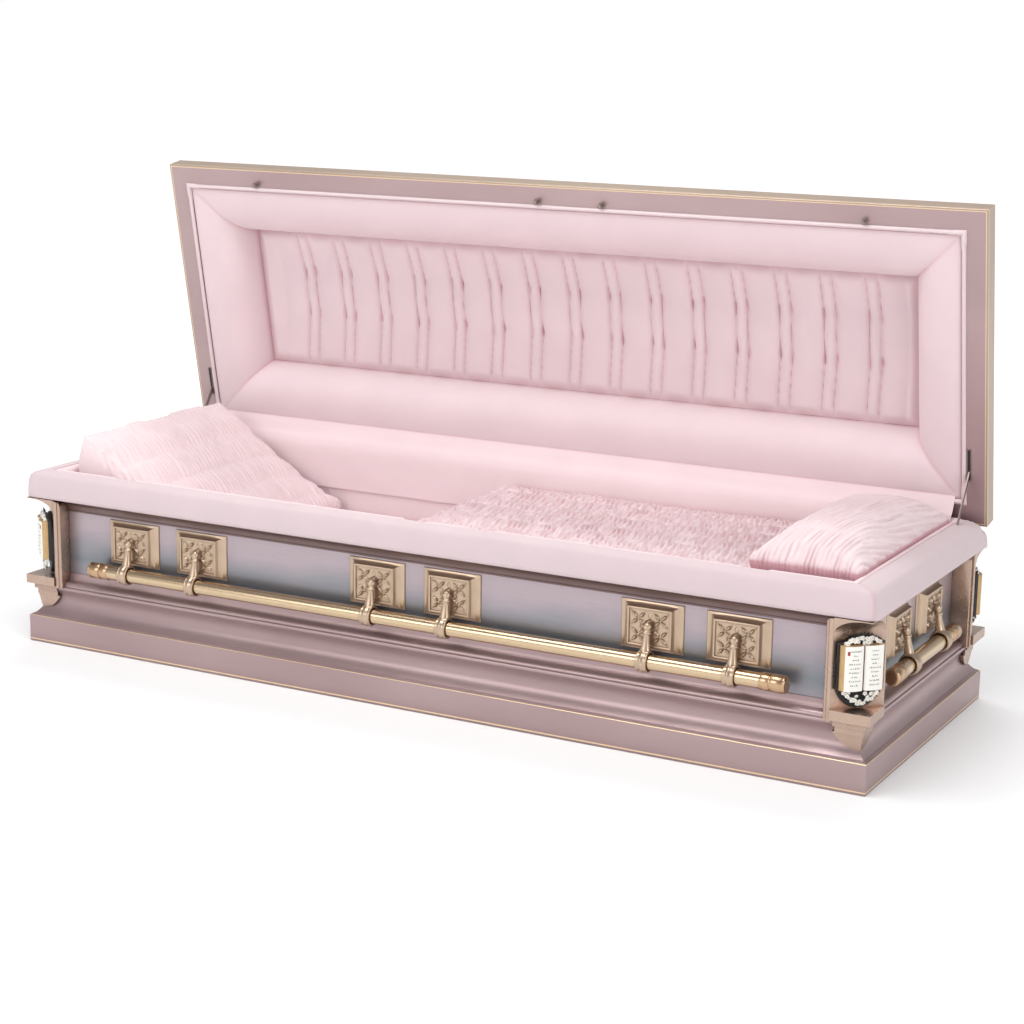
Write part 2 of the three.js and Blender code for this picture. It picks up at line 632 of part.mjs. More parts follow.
function lidShell() {
  const outside = [[LID_Y, LID_SEAT], [0, LID_SEAT], ...crownProfile(0)];
  const inside = [
    [LID_Y, LID_SEAT - PAST], [FLANGE, LID_SEAT - PAST],
    [FLANGE, LID_SEAT + SHEET], [SHEET, LID_SEAT + SHEET],
    ...crownProfile(SHEET)];
  const slots = [-1, 1].map((end) => {
    const xs = between(end * (STAY_X - STAY_GUIDE), end * (STAY_X + STAY_GUIDE));
    return block(...xs, LID_Y - STAY_SLOT[1], LID_Y - STAY_SLOT[0], LID_SEAT - PAST, LID_SEAT + PAST);
  });
  const leafFront = HINGE_Y + BARREL_RADIUS + 1.4;
  const leafZs = [LID_SEAT - LEAF_THICK, LID_SEAT + SHEET / 2];
  const leaf = block(-HINGE_HALF, HINGE_HALF, leafFront, LID_Y - OVERLAP, ...leafZs);
  const catches = CATCH_AT.map((x) => {
    const peg = new THREE.CylinderGeometry(CATCH_RADIUS, CATCH_RADIUS - 1, CATCH_LENGTH + SHEET / 2, 8);
    const middle = LID_SEAT + (SHEET / 2 - CATCH_LENGTH) / 2;
    return solid(peg.rotateX(Math.PI / 2).translate(x, CATCH_INSET - LID_Y, middle));
  });
  const crown = cut(frame(outside, LID_X, LID_Y), [frame(inside, LID_X, LID_Y), ...slots]);
  return join([crown, leaf, ...catches]);
}

function lidGasket() {
  const radius = 5;
  const middle = FLANGE + GAP + radius;
  const section = [];
  const sides = 6;
  for (let i = 0; i < sides; i += 1) {
    const turn = (i / sides) * 2 * Math.PI;
    section.push([middle + radius * Math.cos(turn), LID_SEAT + 1 + radius * Math.sin(turn)]);
  }
  return frame(loop(section), LID_X, LID_Y);
}

// Padded border roll: level with the flange, then rounded down to the tufted panel
function lidRoll() {
  const path = new THREE.Path();
  path.moveTo(ROLL_START, 12);
  path.lineTo(ROLL_START, 6);
  path.lineTo(ROLL_FLAT, 8);
  path.quadraticCurveTo(ROLL_INSET - 4, 18, ROLL_INSET, ROLL_DEPTH);
  const front = pointsOf(path, 6);
  const ring = [...front, [ROLL_INSET, PANEL_BACK], [ROLL_INSET - 16, PANEL_BACK], [ROLL_FLAT, 40]];
  return frame(loop(ring.map(([inset, depth]) => [inset, LID_SEAT + depth])), LID_X, LID_Y);
}

// Tufted panel: soft upright puffs with narrow folds between them
function tuftedPanel() {
  const half = LID_X - ROLL_INSET - 0.5;
  const folds = Array.from({ length: RIBS }, (unused, i) => RIB_FIRST + i * RIB_PITCH);
  const edges = [-half, ...folds.flatMap((x) => [x - RIB_WIDTH / 2, x + RIB_WIDTH / 2]), half];
  const face = [];
  for (let i = 0; i < edges.length - 1; i += 1) {
    const wide = edges[i + 1] - edges[i] > RIB_WIDTH + 1;
    const steps = wide ? 3 : 2;
    const rise = wide ? PUFF : PUFF * 0.6;
    for (let j = 0; j < steps; j += 1) {
      const x = THREE.MathUtils.lerp(edges[i], edges[i + 1], j / steps);
      face.push([x, LID_SEAT + ROLL_DEPTH - rise * Math.sin(Math.PI * j / steps) ** 0.7]);
    }
  }
  const back = LID_SEAT + PANEL_BACK;
  const outline = [...face, [half, LID_SEAT + ROLL_DEPTH], [half, back], [-half, back]];
  const halfY = LID_Y - ROLL_INSET - 0.5;
  return solid(prism(outline, 0, 2 * halfY).rotateX(Math.PI / 2).translate(0, halfY, 0));
}

function addLid() {
  const lid = new THREE.Group();
  lid.position.set(0, HINGE_Y, HINGE_Z);
  lid.rotation.x = -OPEN_ANGLE;
  const closed = new THREE.Group();
  closed.position.set(0, -HINGE_Y, -HINGE_Z);
  lid.add(closed);
  casket.add(lid);
  piece(closed, 'lid_shell', lidShell(), MAUVE);
  piece(closed, 'lid_gasket', lidGasket(), GASKET);
  piece(closed, 'lid_border_roll', lidRoll(), PINK);
  piece(closed, 'lid_tufted_panel', tuftedPanel(), PINK);
}

// Lid stay: a round-ended blade, drawn at its open angle
function lidStay(end) {
  const outline = [];
  const steps = 5;
  for (const [along, start] of [[STAY_LENGTH, -Math.PI / 2], [0, Math.PI / 2]]) {
    for (let i = 0; i <= steps; i += 1) {
      const turn = STAY_ANGLE + start + (i / steps) * Math.PI;
      outline.push([
        STAY_Y + along * Math.cos(STAY_ANGLE) + STAY_HALF_WIDTH * Math.cos(turn),
        STAY_Z + along * Math.sin(STAY_ANGLE) + STAY_HALF_WIDTH * Math.sin(turn)]);
    }
  }
  const middle = end * STAY_X;
  return solid(beam(outline, middle - STAY_THICK / 2, middle + STAY_THICK / 2));
}

piece(casket, 'base_moulding', baseMoulding(), MAUVE);
piece(casket, 'body_shell', bodyShell(), PANEL);
const niche = cornerNiche();
const book = bookInsert();
for (const { name, flip } of CORNERS) {
  piece(casket, `corner_niche_${name}`, flipped(niche, flip), BRONZE);
  piece(casket, `book_insert_${name}`, flipped(book, flip), BOOK);
}
addHandles();
piece(casket, 'extendover', extendover(), PINK);
piece(casket, 'body_lining', bodyLining(), PINK);
piece(casket, 'mattress', mattress(), PINK);
piece(casket, 'foot_throw', footThrow(), PINK);
piece(casket, 'head_pillow', headPillow(), PINK);
piece(casket, 'foot_pillow', footPillow(), PINK);
addLid();
piece(casket, 'lid_stay_left', lidStay(-1), DARK_STEEL);
piece(casket, 'lid_stay_right', lidStay(1), DARK_STEEL);

export default casket;
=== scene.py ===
import math
import bmesh
import bpy
import numpy as np
from mathutils import Matrix, Vector
from mathutils.bvhtree import BVHTree


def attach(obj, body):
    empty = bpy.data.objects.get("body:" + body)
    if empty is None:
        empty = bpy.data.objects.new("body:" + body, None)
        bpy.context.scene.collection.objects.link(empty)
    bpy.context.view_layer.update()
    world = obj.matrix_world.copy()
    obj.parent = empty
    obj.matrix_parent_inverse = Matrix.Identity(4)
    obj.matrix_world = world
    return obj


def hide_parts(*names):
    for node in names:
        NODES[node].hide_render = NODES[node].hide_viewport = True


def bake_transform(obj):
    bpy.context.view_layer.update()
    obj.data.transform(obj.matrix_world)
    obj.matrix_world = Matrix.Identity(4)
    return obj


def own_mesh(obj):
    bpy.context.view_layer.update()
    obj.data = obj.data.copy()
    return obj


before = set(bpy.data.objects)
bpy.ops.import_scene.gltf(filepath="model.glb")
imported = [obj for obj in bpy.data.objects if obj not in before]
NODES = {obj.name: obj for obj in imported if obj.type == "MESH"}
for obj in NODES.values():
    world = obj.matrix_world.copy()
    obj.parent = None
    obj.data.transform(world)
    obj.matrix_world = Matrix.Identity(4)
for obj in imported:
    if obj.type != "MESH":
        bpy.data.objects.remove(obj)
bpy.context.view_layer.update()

# Sizes are in millimetres in the part's frame; meshes are scaled to metres when they are made
MM = 0.001
HALF_X = 1055.0
HALF_Y = 370.5
END_EXTRA = 8.0
WALL_INSET = 40.0
BODY_X = HALF_X - WALL_INSET - END_EXTRA
BODY_Y = HALF_Y - WALL_INSET
PLINTH = 64.0
MOULDING_TOP = 172.0
CORNICE_BOTTOM = 322.0
CORNICE_REACH = 24.0
RIM = 352.0
SHEET = 1.5
GAP = 0.3

LID_X = 1057.0
LID_Y = 357.0
LID_SEAT = 424.0
LIP = 45.0
CROWN = 165.0
FLANGE = 47.0
HINGE_Y = 335.8
HINGE_Z = 419.2
HINGE_HALF = 955.0
BARREL_RADIUS = 4.0
OPEN_ANGLE = math.radians(79.4)
CATCH_AT = (-794, -6, 159, 787)
CATCH_INSET = 39.0
STAY_X = 1016.5
STAY_Y = 250.5
STAY_Z = 405.0
STAY_SLOT = (104, 178)

SKIRT_X = 1060.0
SKIRT_Y = 369.0
SKIRT_BOTTOM = 354.5
SKIRT_TOP = 418.0
SKIRT_BACK_TOP = 393.5
SKIRT_DEPTH = 39.4
SKIRT_END_DEPTH = 54.0
SKIRT_CORNER = 22.0
LINING_THICK = 22.0
LINING_TOP = 416.5
BED_X = 980.5
BED_Y = 304.0
MATTRESS_TOP = 243.0
THROW_LEFT = -140.0
THROW_TOP = 377.0
PILLOW_CELL = 11.0
PILLOW_PRESSURE = 4.0
PILLOW_FRAMES = 20
PILLOW_CAP = 9.0
ROLL_START = 60.0
ROLL_FLAT = 112.0
ROLL_INSET = 180.0
ROLL_DEPTH = 97.0
PANEL_BACK = 110.0
RIBS = 15
RIB_FIRST = -727.0
RIB_PITCH = 107.2
RIB_HALF = 14.0

LUG_Z = 266.0
LUG_FACE = (50.0, 41.0)
LUG_BASE = (71.0, 52.0)
LUG_DEPTH = 19.0
LUG_BORDER = 5.0
LUG_FIELD = 3.4
LEAF_ACROSS = 25.0
LEAF_UP = 17.5
PIVOT_OUT = 26.0
PIVOT_Z = 270.0
BAR_OUT = 37.0
BAR_Z = 200.0
BAR_RADIUS = 16.5
CAP_RADIUS = 18.6
ARM_CELL = 1.7
ARM_ROUNDING = 2
LONG_LUGS = (-762, -570, -95, 95, 570, 762)
END_LUGS = (-100, 100)
SIDES = (
    ("front", 0.0, (0, -BODY_Y), LONG_LUGS, 874.0, 9.0),
    ("back", math.pi, (0, BODY_Y), LONG_LUGS, 874.0, 0.0),
    ("right", math.pi / 2, (BODY_X, 0), END_LUGS, 203.0, -12.0),
    ("left", -math.pi / 2, (-BODY_X, 0), END_LUGS, 203.0, 0.0),
)
CORNERS = (("front_right", 1, 1), ("front_left", -1, 1), ("back_right", 1, -1), ("back_left", -1, -1))
NICHE_FACE = 83 / math.sqrt(2)
STRIP_BOTTOM = 140.0
STRIP_TOP = 350.0
STRIP_CORNER = 13.0
BOARD_HALF = 52.0
BOARD_BOTTOM = 168.0
BOARD_TOP = 314.0
BOARD_THICK = 6.0
BOOK_BOTTOM = 208.0
BOOK_TOP = 299.0

# Camera of the photograph, in metres and degrees
CAMERA_AT = (2.39746, -4.28017, 1.49603)
CAMERA_AZIMUTH = 28.67
CAMERA_ELEVATION = 12.90
CAMERA_ROLL = 0.75
CAMERA_LENS = 77.34
CAMERA_SENSOR = 36.0

# Each light's name, place, target and size in metres, and its power in watts
LIGHTS = (
    ("key", (-1.4, -4.6, 2.4), (0, 0, 0.5), (3.6, 1.8), 70),
    ("fill", (4.6, -1.6, 1.9), (0.3, 0, 0.4), (2.0, 1.8), 46),
    ("top", (-0.2, -1.1, 3.9), (0, 0.2, 0.4), (3.2, 1.2), 82),
    ("back", (-0.3, 1.5, 3.7), (0, -0.5, 0.0), (3.4, 0.7), 60),
)


EVEN = (1, 1, 1)
WHITE = (1.0, 1.0, 1.0)


def srgb(red, green, blue):
    """A colour as it shows on screen, 0 to 255, as linear values."""
    values = np.array([red, green, blue]) / 255.0
    return tuple(np.where(values <= 0.04045, values / 12.92, ((values + 0.055) / 1.055) ** 2.4))


# Camera, light and floor


def make_camera():
    azimuth, elevation, roll = (math.radians(a) for a in (CAMERA_AZIMUTH, CAMERA_ELEVATION, CAMERA_ROLL))
    flat = math.cos(elevation)
    back = Vector((math.sin(azimuth) * flat, -math.cos(azimuth) * flat, math.sin(elevation)))
    level = Vector((math.cos(azimuth), math.sin(azimuth), 0))
    upright = back.cross(level)
    right = level * math.cos(roll) + upright * math.sin(roll)
    up = upright * math.cos(roll) - level * math.sin(roll)
    data = bpy.data.cameras.new("camera")
    data.lens = CAMERA_LENS
    data.sensor_width = CAMERA_SENSOR
    camera = bpy.data.objects.new("camera", data)
    rotation = Matrix((right, up, back)).transposed().to_4x4()
    camera.matrix_world = Matrix.Translation(CAMERA_AT) @ rotation
    bpy.context.scene.collection.objects.link(camera)
    bpy.context.scene.camera = camera


def add_area_light(name, place, target, size, power):
    data = bpy.data.lights.new(name, "AREA")
    data.shape = "RECTANGLE"
    data.size, data.size_y = size
    data.energy = power
    light = bpy.data.objects.new(name, data)
    light.location = place
    light.rotation_mode = "QUATERNION"
    light.rotation_quaternion = (Vector(target) - Vector(place)).to_track_quat("-Z", "Y")
    bpy.context.scene.collection.objects.link(light)


def make_studio():
    scene = bpy.context.scene
    scene.view_settings.view_transform = "Standard"
    world = bpy.data.worlds.new("studio")
    world.use_nodes = True
    tree = world.node_tree
    direction = add_node(tree, "ShaderNodeTexCoord")
    parts = add_node(tree, "ShaderNodeSeparateXYZ")
    tree.links.new(direction.outputs["Generated"], parts.inputs["Vector"])
    dim, dark = (0.55, 0.55, 0.56), (0.33, 0.33, 0.34)
    stops = ((0.0, WHITE), (0.08, WHITE), (0.22, dim), (0.6, dark))
    glow = ramp_of(tree, parts.outputs["Z"], stops)
    tree.links.new(glow, tree.nodes["Background"].inputs["Color"])
    scene.world = world
    for light in LIGHTS:
        add_area_light(*light)
    bpy.ops.mesh.primitive_plane_add(size=200, location=(0, 0, -0.0005))
    floor = bpy.context.object
    floor.name = "floor"
    white, tree, shader = new_material("floor_white", (0.85, 0.85, 0.85), 0.7)
    # Painted light: the floor glows, weakly near the casket and more strongly far from it, so that the far
    # floor shows white.
    place = add_node(tree, "ShaderNodeTexCoord")
    away = add_node(tree, "ShaderNodeVectorMath", operation="LENGTH")
    tree.links.new(place.outputs["Object"], away.inputs[0])
    reach = {"From Min": 1.6, "From Max": 4.5, "To Min": 0.16, "To Max": 0.75}
    spread = add_node(tree, "ShaderNodeMapRange", reach)
    tree.links.new(away.outputs["Value"], spread.inputs["Value"])
    tree.links.new(spread.outputs["Result"], shader.inputs["Emission Strength"])
    shader.inputs["Emission Color"].default_value = (1, 1, 1, 1)
    floor.data.materials.append(white)


# Material helpers


def set_inputs(node, values):
    for key, value in values.items():
        node.inputs[key].default_value = value


def add_node(tree, kind, inputs=None, **settings):
    made = tree.nodes.new(kind)
    for key, value in settings.items():
        setattr(made, key, value)
    set_inputs(made, inputs or {})
    return made


def new_material(name, colour, roughness, metallic=0.0):
    """A plain material, with its node tree and its shader."""
    material = bpy.data.materials.new(name)
    material.use_nodes = True
    tree = material.node_tree
    shader = tree.nodes["Principled BSDF"]
    set_inputs(shader, {"Base Color": (*colour, 1), "Roughness": roughness, "Metallic": metallic})
    return material, tree, shader


def noise_of(tree, stretch, scale, detail=3.0):
    """Noise over the piece's own place, with its own scale along each axis."""
    place = add_node(tree, "ShaderNodeTexCoord")
    mapping = add_node(tree, "ShaderNodeMapping", {"Scale": stretch})
    tree.links.new(place.outputs["Object"], mapping.inputs["Vector"])
    noise = add_node(tree, "ShaderNodeTexNoise", {"Scale": scale, "Detail": detail})
    tree.links.new(mapping.outputs["Vector"], noise.inputs["Vector"])
    return noise.outputs["Fac"]


def ramp_of(tree, factor, stops):
    """A colour ramp with (position, colour) stops."""
    ramp = add_node(tree, "ShaderNodeValToRGB")
    elements = ramp.color_ramp.elements
    while len(elements) < len(stops):
        elements.new(0.5)
    for element, (position, colour) in zip(elements, stops):
        element.position = position
        element.color = (*colour, 1)
    tree.links.new(factor, ramp.inputs["Fac"])
    return ramp.outputs["Color"]


def mixed(tree, factor, first, second, blend="MIX"):
    mix = add_node(tree, "ShaderNodeMix", data_type="RGBA", blend_type=blend)
    for socket, value in ((mix.inputs[0], factor), (mix.inputs[6], first), (mix.inputs[7], second)):
        if hasattr(value, "is_linked"):
            tree.links.new(value, socket)
        elif isinstance(value, float):
            socket.default_value = value
        else:
            socket.default_value = (*value, 1)
    return mix.outputs[2]


def add_bump(tree, shader, height, strength, distance):
    bump = add_node(tree, "ShaderNodeBump", {"Strength": strength, "Distance": distance})
    tree.links.new(height, bump.inputs["Height"])
    tree.links.new(bump.outputs["Normal"], shader.inputs["Normal"])


def add_roughness(tree, shader, factor, low, high):
    spread = add_node(tree, "ShaderNodeMapRange", {"To Min": low, "To Max": high})
    tree.links.new(factor, spread.inputs["Value"])
    tree.links.new(spread.outputs["Result"], shader.inputs["Roughness"])


def darkened(tree, tone, amount, reach, dark, low, high):
    """The tone, turning dark in the corners and hollows that the reach finds: painted shade."""
    hollow = add_node(tree, "ShaderNodeAmbientOcclusion", {"Distance": reach}, samples=4)
    shade = ramp_of(tree, hollow.outputs["AO"], ((low, dark), (high, WHITE)))
    return mixed(tree, amount, tone, shade, "MULTIPLY")


def add_lacquer(tree, shader, weight, roughness):
    """A clear coat with a faint orange peel."""
    add_bump(tree, shader, noise_of(tree, EVEN, 240.0, 1.0), 0.02, 0.0003)
    set_inputs(shader, {"Coat Weight": weight, "Coat Roughness": roughness})


# Materials


def brushed_paint(name, light, dark, metallic, roughness):
    """Satin lacquer over brushed sheet: fine streaks along the length and slow changes of tone, with painted
    shade in its corners and hollows.
    """
    material, tree, shader = new_material(name, light, roughness, metallic)
    streaks = noise_of(tree, (2.0, 90.0, 90.0), 9.0, 5.0)
    slow = noise_of(tree, (1.0, 2.0, 2.0), 2.2, 2.0)
    tone = ramp_of(tree, slow, ((0.3, dark), (0.7, light)))
    streaked = mixed(tree, 0.05, tone, streaks, "OVERLAY")
    # Painted shade: the colour darkens in corners and hollows within 30 mm.
    colour = darkened(tree, streaked, 0.85, 0.03, (0.50, 0.42, 0.42), 0.25, 0.85)
    tree.links.new(colour, shader.inputs["Base Color"])
    add_roughness(tree, shader, streaks, roughness - 0.02, roughness + 0.04)
    add_lacquer(tree, shader, 0.12, 0.32)
    return material


def panel_paint():
    """Shaded-finish side panels, a two-tone paint: blue-grey in the middle of their height, lilac above and
    below, with painted shade in their hollows.
    """
    lilac = srgb(174, 160, 166)
    steel = srgb(124, 130, 136)
    material, tree, shader = new_material("panel_paint", steel, 0.3, 0.55)
    place = add_node(tree, "ShaderNodeTexCoord")
    parts = add_node(tree, "ShaderNodeSeparateXYZ")
    tree.links.new(place.outputs["Object"], parts.inputs["Vector"])
    limits = {"From Min": MOULDING_TOP * MM, "From Max": CORNICE_BOTTOM * MM}
    height = add_node(tree, "ShaderNodeMapRange", limits)
    tree.links.new(parts.outputs["Z"], height.inputs["Value"])
    cloud = noise_of(tree, (1.6, 1.6, 5.0), 2.6, 3.0)
    wander = add_node(tree, "ShaderNodeMath", {1: 0.5}, operation="MULTIPLY_ADD")
    tree.links.new(cloud, wander.inputs[0])
    tree.links.new(height.outputs["Result"], wander.inputs[2])
    stops = ((0.22, srgb(160, 150, 158)), (0.45, steel), (0.72, srgb(146, 144, 150)), (1.0, lilac))
    tone = ramp_of(tree, wander.outputs["Value"], stops)
    streaks = noise_of(tree, (3.0, 120.0, 120.0), 8.0, 5.0)
    streaked = mixed(tree, 0.10, tone, streaks, "OVERLAY")
    # Painted shade: darker in the corners and hollows within 45 mm, as round the lugs and under the cornice.
    colour = darkened(tree, streaked, 0.9, 0.045, (0.42, 0.38, 0.40), 0.2, 0.9)
    tree.links.new(colour, shader.inputs["Base Color"])
    add_roughness(tree, shader, streaks, 0.24, 0.40)
    add_lacquer(tree, shader, 0.3, 0.15)
    return material


def antique_metal(name, light, dark, roughness, reach):
    """Plated castings: bright on the open faces, brown in the hollows, finely grained; the brown in the
    hollows is partly the antique finish and partly painted shade.
    """
    material, tree, shader = new_material(name, light, roughness, 0.85)
    grain = noise_of(tree, EVEN, 900.0, 2.0)
    cloud = noise_of(tree, EVEN, 26.0, 4.0)
    worn = ramp_of(tree, cloud, ((0.3, tuple(c * 0.92 for c in light)), (0.65, light)))
    # Darkened in the hollows within the reach: partly the antique finish, partly painted shade.
    colour = darkened(tree, worn, 0.9, reach, dark, 0.30, 0.9)
    tree.links.new(colour, shader.inputs["Base Color"])
    add_roughness(tree, shader, cloud, roughness - 0.04, roughness + 0.06)
    add_bump(tree, shader, grain, 0.03, 0.0002)
    return material


def polished_metal(name, colour, roughness):
    """Drawn tube: bright, with faint lines along its length and a little brown painted shade in the grooves.
    """
    material, tree, shader = new_material(name, colour, roughness, 1.0)
    lines = noise_of(tree, (1.0, 120.0, 120.0), 1.6, 1.0)
    brown = tuple(c * f for c, f in zip(colour, (0.95, 0.93, 0.91)))
    tone = ramp_of(tree, lines, ((0.3, brown), (0.7, colour)))
    # Painted shade: brown in the grooves and hollows within 8 mm.
    groove_shade = darkened(tree, tone, 0.85, 0.008, (0.45, 0.34, 0.26), 0.3, 0.85)
    tree.links.new(groove_shade, shader.inputs["Base Color"])
    add_roughness(tree, shader, lines, roughness - 0.02, roughness + 0.03)
    return material


def crepe_fabric(name, light, deep):
    """Soft crepe: matt and faintly creased, with painted shade in deeper pink in its folds, and the seam
    colour along sewn seams and as painted shade in creases, at joins and on undersides.
    """
    material, tree, shader = new_material(name, light, 0.85)
    weave = noise_of(tree, EVEN, 1500.0, 1.0)
    cloud = noise_of(tree, EVEN, 11.0, 3.0)
    tone = ramp_of(tree, cloud, ((0.3, tuple(c * 0.96 for c in light)), (0.7, light)))
    # Painted shade: deeper pink in folds and hollows within 18 mm.
    shaded = darkened(tree, tone, 0.8, 0.018, deep, 0.3, 0.92)
    # The seam attribute mixes in a deeper pink: sewn seams, and painted shade in creases, at joins and on
    # undersides.
    seam = add_node(tree, "ShaderNodeAttribute", attribute_name="seam")
    seamed = mixed(tree, seam.outputs["Fac"], shaded, srgb(206, 150, 160))
    tree.links.new(seamed, shader.inputs["Base Color"])
    add_bump(tree, shader, weave, 0.10, 0.0006)
    set_inputs(shader, {"Sheen Weight": 0.25, "Sheen Roughness": 0.5, "Specular IOR Level": 0.25})
    return material


def grained(name, colour, roughness, scale, contrast=0.8, metallic=0.0, stretch=EVEN):
    """A small detail's material: its colour broken by grain of the given scale."""
    material, tree, shader = new_material(name, colour, roughness, metallic)
    grain = noise_of(tree, stretch, scale, 3.0)
    dark = tuple(c * contrast for c in colour)
    tree.links.new(ramp_of(tree, grain, ((0.35, dark), (0.65, colour))), shader.inputs["Base Color"])
    add_roughness(tree, shader, grain, max(roughness - 0.08, 0.05), min(roughness + 0.08, 1.0))
    add_bump(tree, shader, grain, 0.08, 0.0004)
    return material


MAUVE = brushed_paint("mauve_paint", srgb(176, 153, 153), srgb(164, 140, 141), 0.62, 0.36)
# The cornice paint is a darker copy of the mauve paint: painted shade under the skirt's overhang.
CORNICE = brushed_paint("cornice_painted_shade", srgb(122, 101, 98), srgb(108, 88, 86), 0.62, 0.30)
CHAMPAGNE = brushed_paint("lip_paint", srgb(178, 158, 140), srgb(164, 144, 127), 0.5, 0.36)
PANEL = panel_paint()
BRONZE = antique_metal("antique_bronze", srgb(194, 171, 148), (0.22, 0.15, 0.11), 0.31, 0.006)
GOLD = polished_metal("bar_gold", srgb(208, 185, 154), 0.22)
CAP = polished_metal("cap_gold", srgb(198, 166, 134), 0.28)
# The niche bronze darkens over a 24 mm reach: painted shade in the niche and under its canopy.
NICHE = antique_metal("niche_bronze", srgb(188, 163, 147), (0.30, 0.23, 0.19), 0.26, 0.024)
PINLINE = grained("pinline_gold", srgb(238, 210, 168), 0.35, 300.0, 0.92, 0.4)
STEEL = grained("dark_steel", srgb(150, 134, 128), 0.4, 240.0, 0.8, 0.8)
# Three copies of one pink crepe: the bed crepe is lighter, painted light for the body's inside where it lies
# in shade; the skirt crepe is darker, painted shade on the skirt.
PINK = crepe_fabric("pink_crepe", srgb(219, 199, 202), (0.90, 0.70, 0.73))
BED = crepe_fabric("bed_crepe_painted_light", srgb(231, 211, 213), (0.92, 0.76, 0.78))
SKIRT = crepe_fabric("skirt_crepe_painted_shade", srgb(208, 190, 193), (0.90, 0.70, 0.73))
TUBE = grained("gasket_tube", srgb(214, 196, 198), 0.5, 420.0, 0.94)
PAPER = grained("page_paper", srgb(240, 238, 230), 0.7, 600.0, 0.95)
FORE_EDGE = grained("page_edges", srgb(204, 168, 118), 0.5, 60.0, 0.72, 0.3, (30, 30, 1))
GUTTER = grained("page_gutter", srgb(112, 44, 44), 0.6, 300.0)
BOARD = grained("backing_board", srgb(30, 28, 30), 0.5, 300.0)
INK = grained("page_ink", srgb(44, 40, 42), 0.7, 500.0)
INITIAL = grained("page_initial", srgb(176, 50, 60), 0.6, 500.0)
PETAL = grained("petal_white", srgb(246, 244, 238), 0.6, 300.0, 0.93)
LEAF = grained("leaf_green", srgb(38, 58, 44), 0.5, 260.0)
POLLEN = grained("pollen", srgb(214, 186, 110), 0.7, 500.0)


# Mesh helpers


def curve(start, control, end, steps):
    """Points of a quadratic curve, without its first point."""
    start, control, end = (np.array(p, float) for p in (start, control, end))
    t = (np.arange(steps) + 1)[:, None] / steps
    return ((1 - t) ** 2 * start + 2 * t * (1 - t) * control + t ** 2 * end).tolist()


def through(points, steps):
    """A smooth curve through points, with the given steps between each two."""
    knots = np.array(points, float)
    padded = np.vstack([2 * knots[0] - knots[1], knots, 2 * knots[-1] - knots[-2]])
    t = np.arange(steps)[:, None] / steps
    rows = []
    for a, b, c, d in zip(padded, padded[1:], padded[2:], padded[3:]):
        bend = (2 * a - 5 * b + 4 * c - d) * t ** 2 + (3 * b - a - 3 * c + d) * t ** 3
        rows.append(0.5 * (2 * b + (c - a) * t + bend))
    return np.vstack([*rows, knots[-1:]])


def grid_faces(rows, columns, wrap_rows=False, wrap_columns=False):
    faces = []
    for i in range(rows if wrap_rows else rows - 1):
        for j in range(columns if wrap_columns else columns - 1):
            k, n = (i + 1) % rows, (j + 1) % columns
            faces.append((i * columns + j, k * columns + j, k * columns + n, i * columns + n))
    return faces


def ring_grid(profile, half_x, half_y, steps_x, steps_y, end_inset=None):
    """Stations round a rectangle with mitred corners, each holding the profile's (inset, height) points."""
    inset, height = np.array(profile, float).T
    reach_x = half_x - (inset if end_inset is None else end_inset(inset))
    reach_y = half_y - inset
    stations = []
    for side in range(4):
        steps = (steps_x, steps_y)[side % 2]
        for t in np.linspace(-1, 1, steps, endpoint=False):
            x = (t * reach_x, reach_x, -t * reach_x, -reach_x)[side]
            y = (-reach_y, t * reach_y, reach_y, -t * reach_y)[side]
            stations.append(np.stack([x, y, height], 1))
    return np.array(stations)


def lathe(profile, steps):
    """Points turned round X from (radius, x) pairs."""
    radius, x = np.array(profile, float).T
    turns = np.linspace(0, 2 * math.pi, steps, endpoint=False)[:, None]
    across, up = radius * np.cos(turns), radius * np.sin(turns)
    return np.stack([np.broadcast_to(x, across.shape), across, up], 2)


def box_mesh(low, high):
    corners = [(x, y, z) for x in (low[0], high[0]) for y in (low[1], high[1]) for z in (low[2], high[2])]
    faces = [(0, 1, 3, 2), (4, 6, 7, 5), (0, 4, 5, 1), (2, 3, 7, 6), (0, 2, 6, 4), (1, 5, 7, 3)]
    return np.array(corners), faces


class Build:
    """Vertices and faces of one piece, gathered from several parts."""

    def __init__(self):
        self.vertices = []
        self.faces = []
        self.slots = []
        self.count = 0

    def add(self, vertices, faces, slot=0):
        vertices = np.asarray(vertices, float).reshape(-1, 3)
        self.vertices.append(vertices)
        self.faces += [tuple(i + self.count for i in face) for face in faces]
        self.slots += list(slot) if isinstance(slot, (list, tuple)) else [slot] * len(faces)
        self.count += len(vertices)

    def points(self):
        return np.vstack(self.vertices)


def rim_of(rows, columns):
    """The border points of a grid, in order round it."""
    rim = [*range(columns), *((i + 1) * columns - 1 for i in range(1, rows))]
    rim += [(rows - 1) * columns + j for j in range(columns - 2, -1, -1)]
    return rim + [i * columns for i in range(rows - 2, 0, -1)]


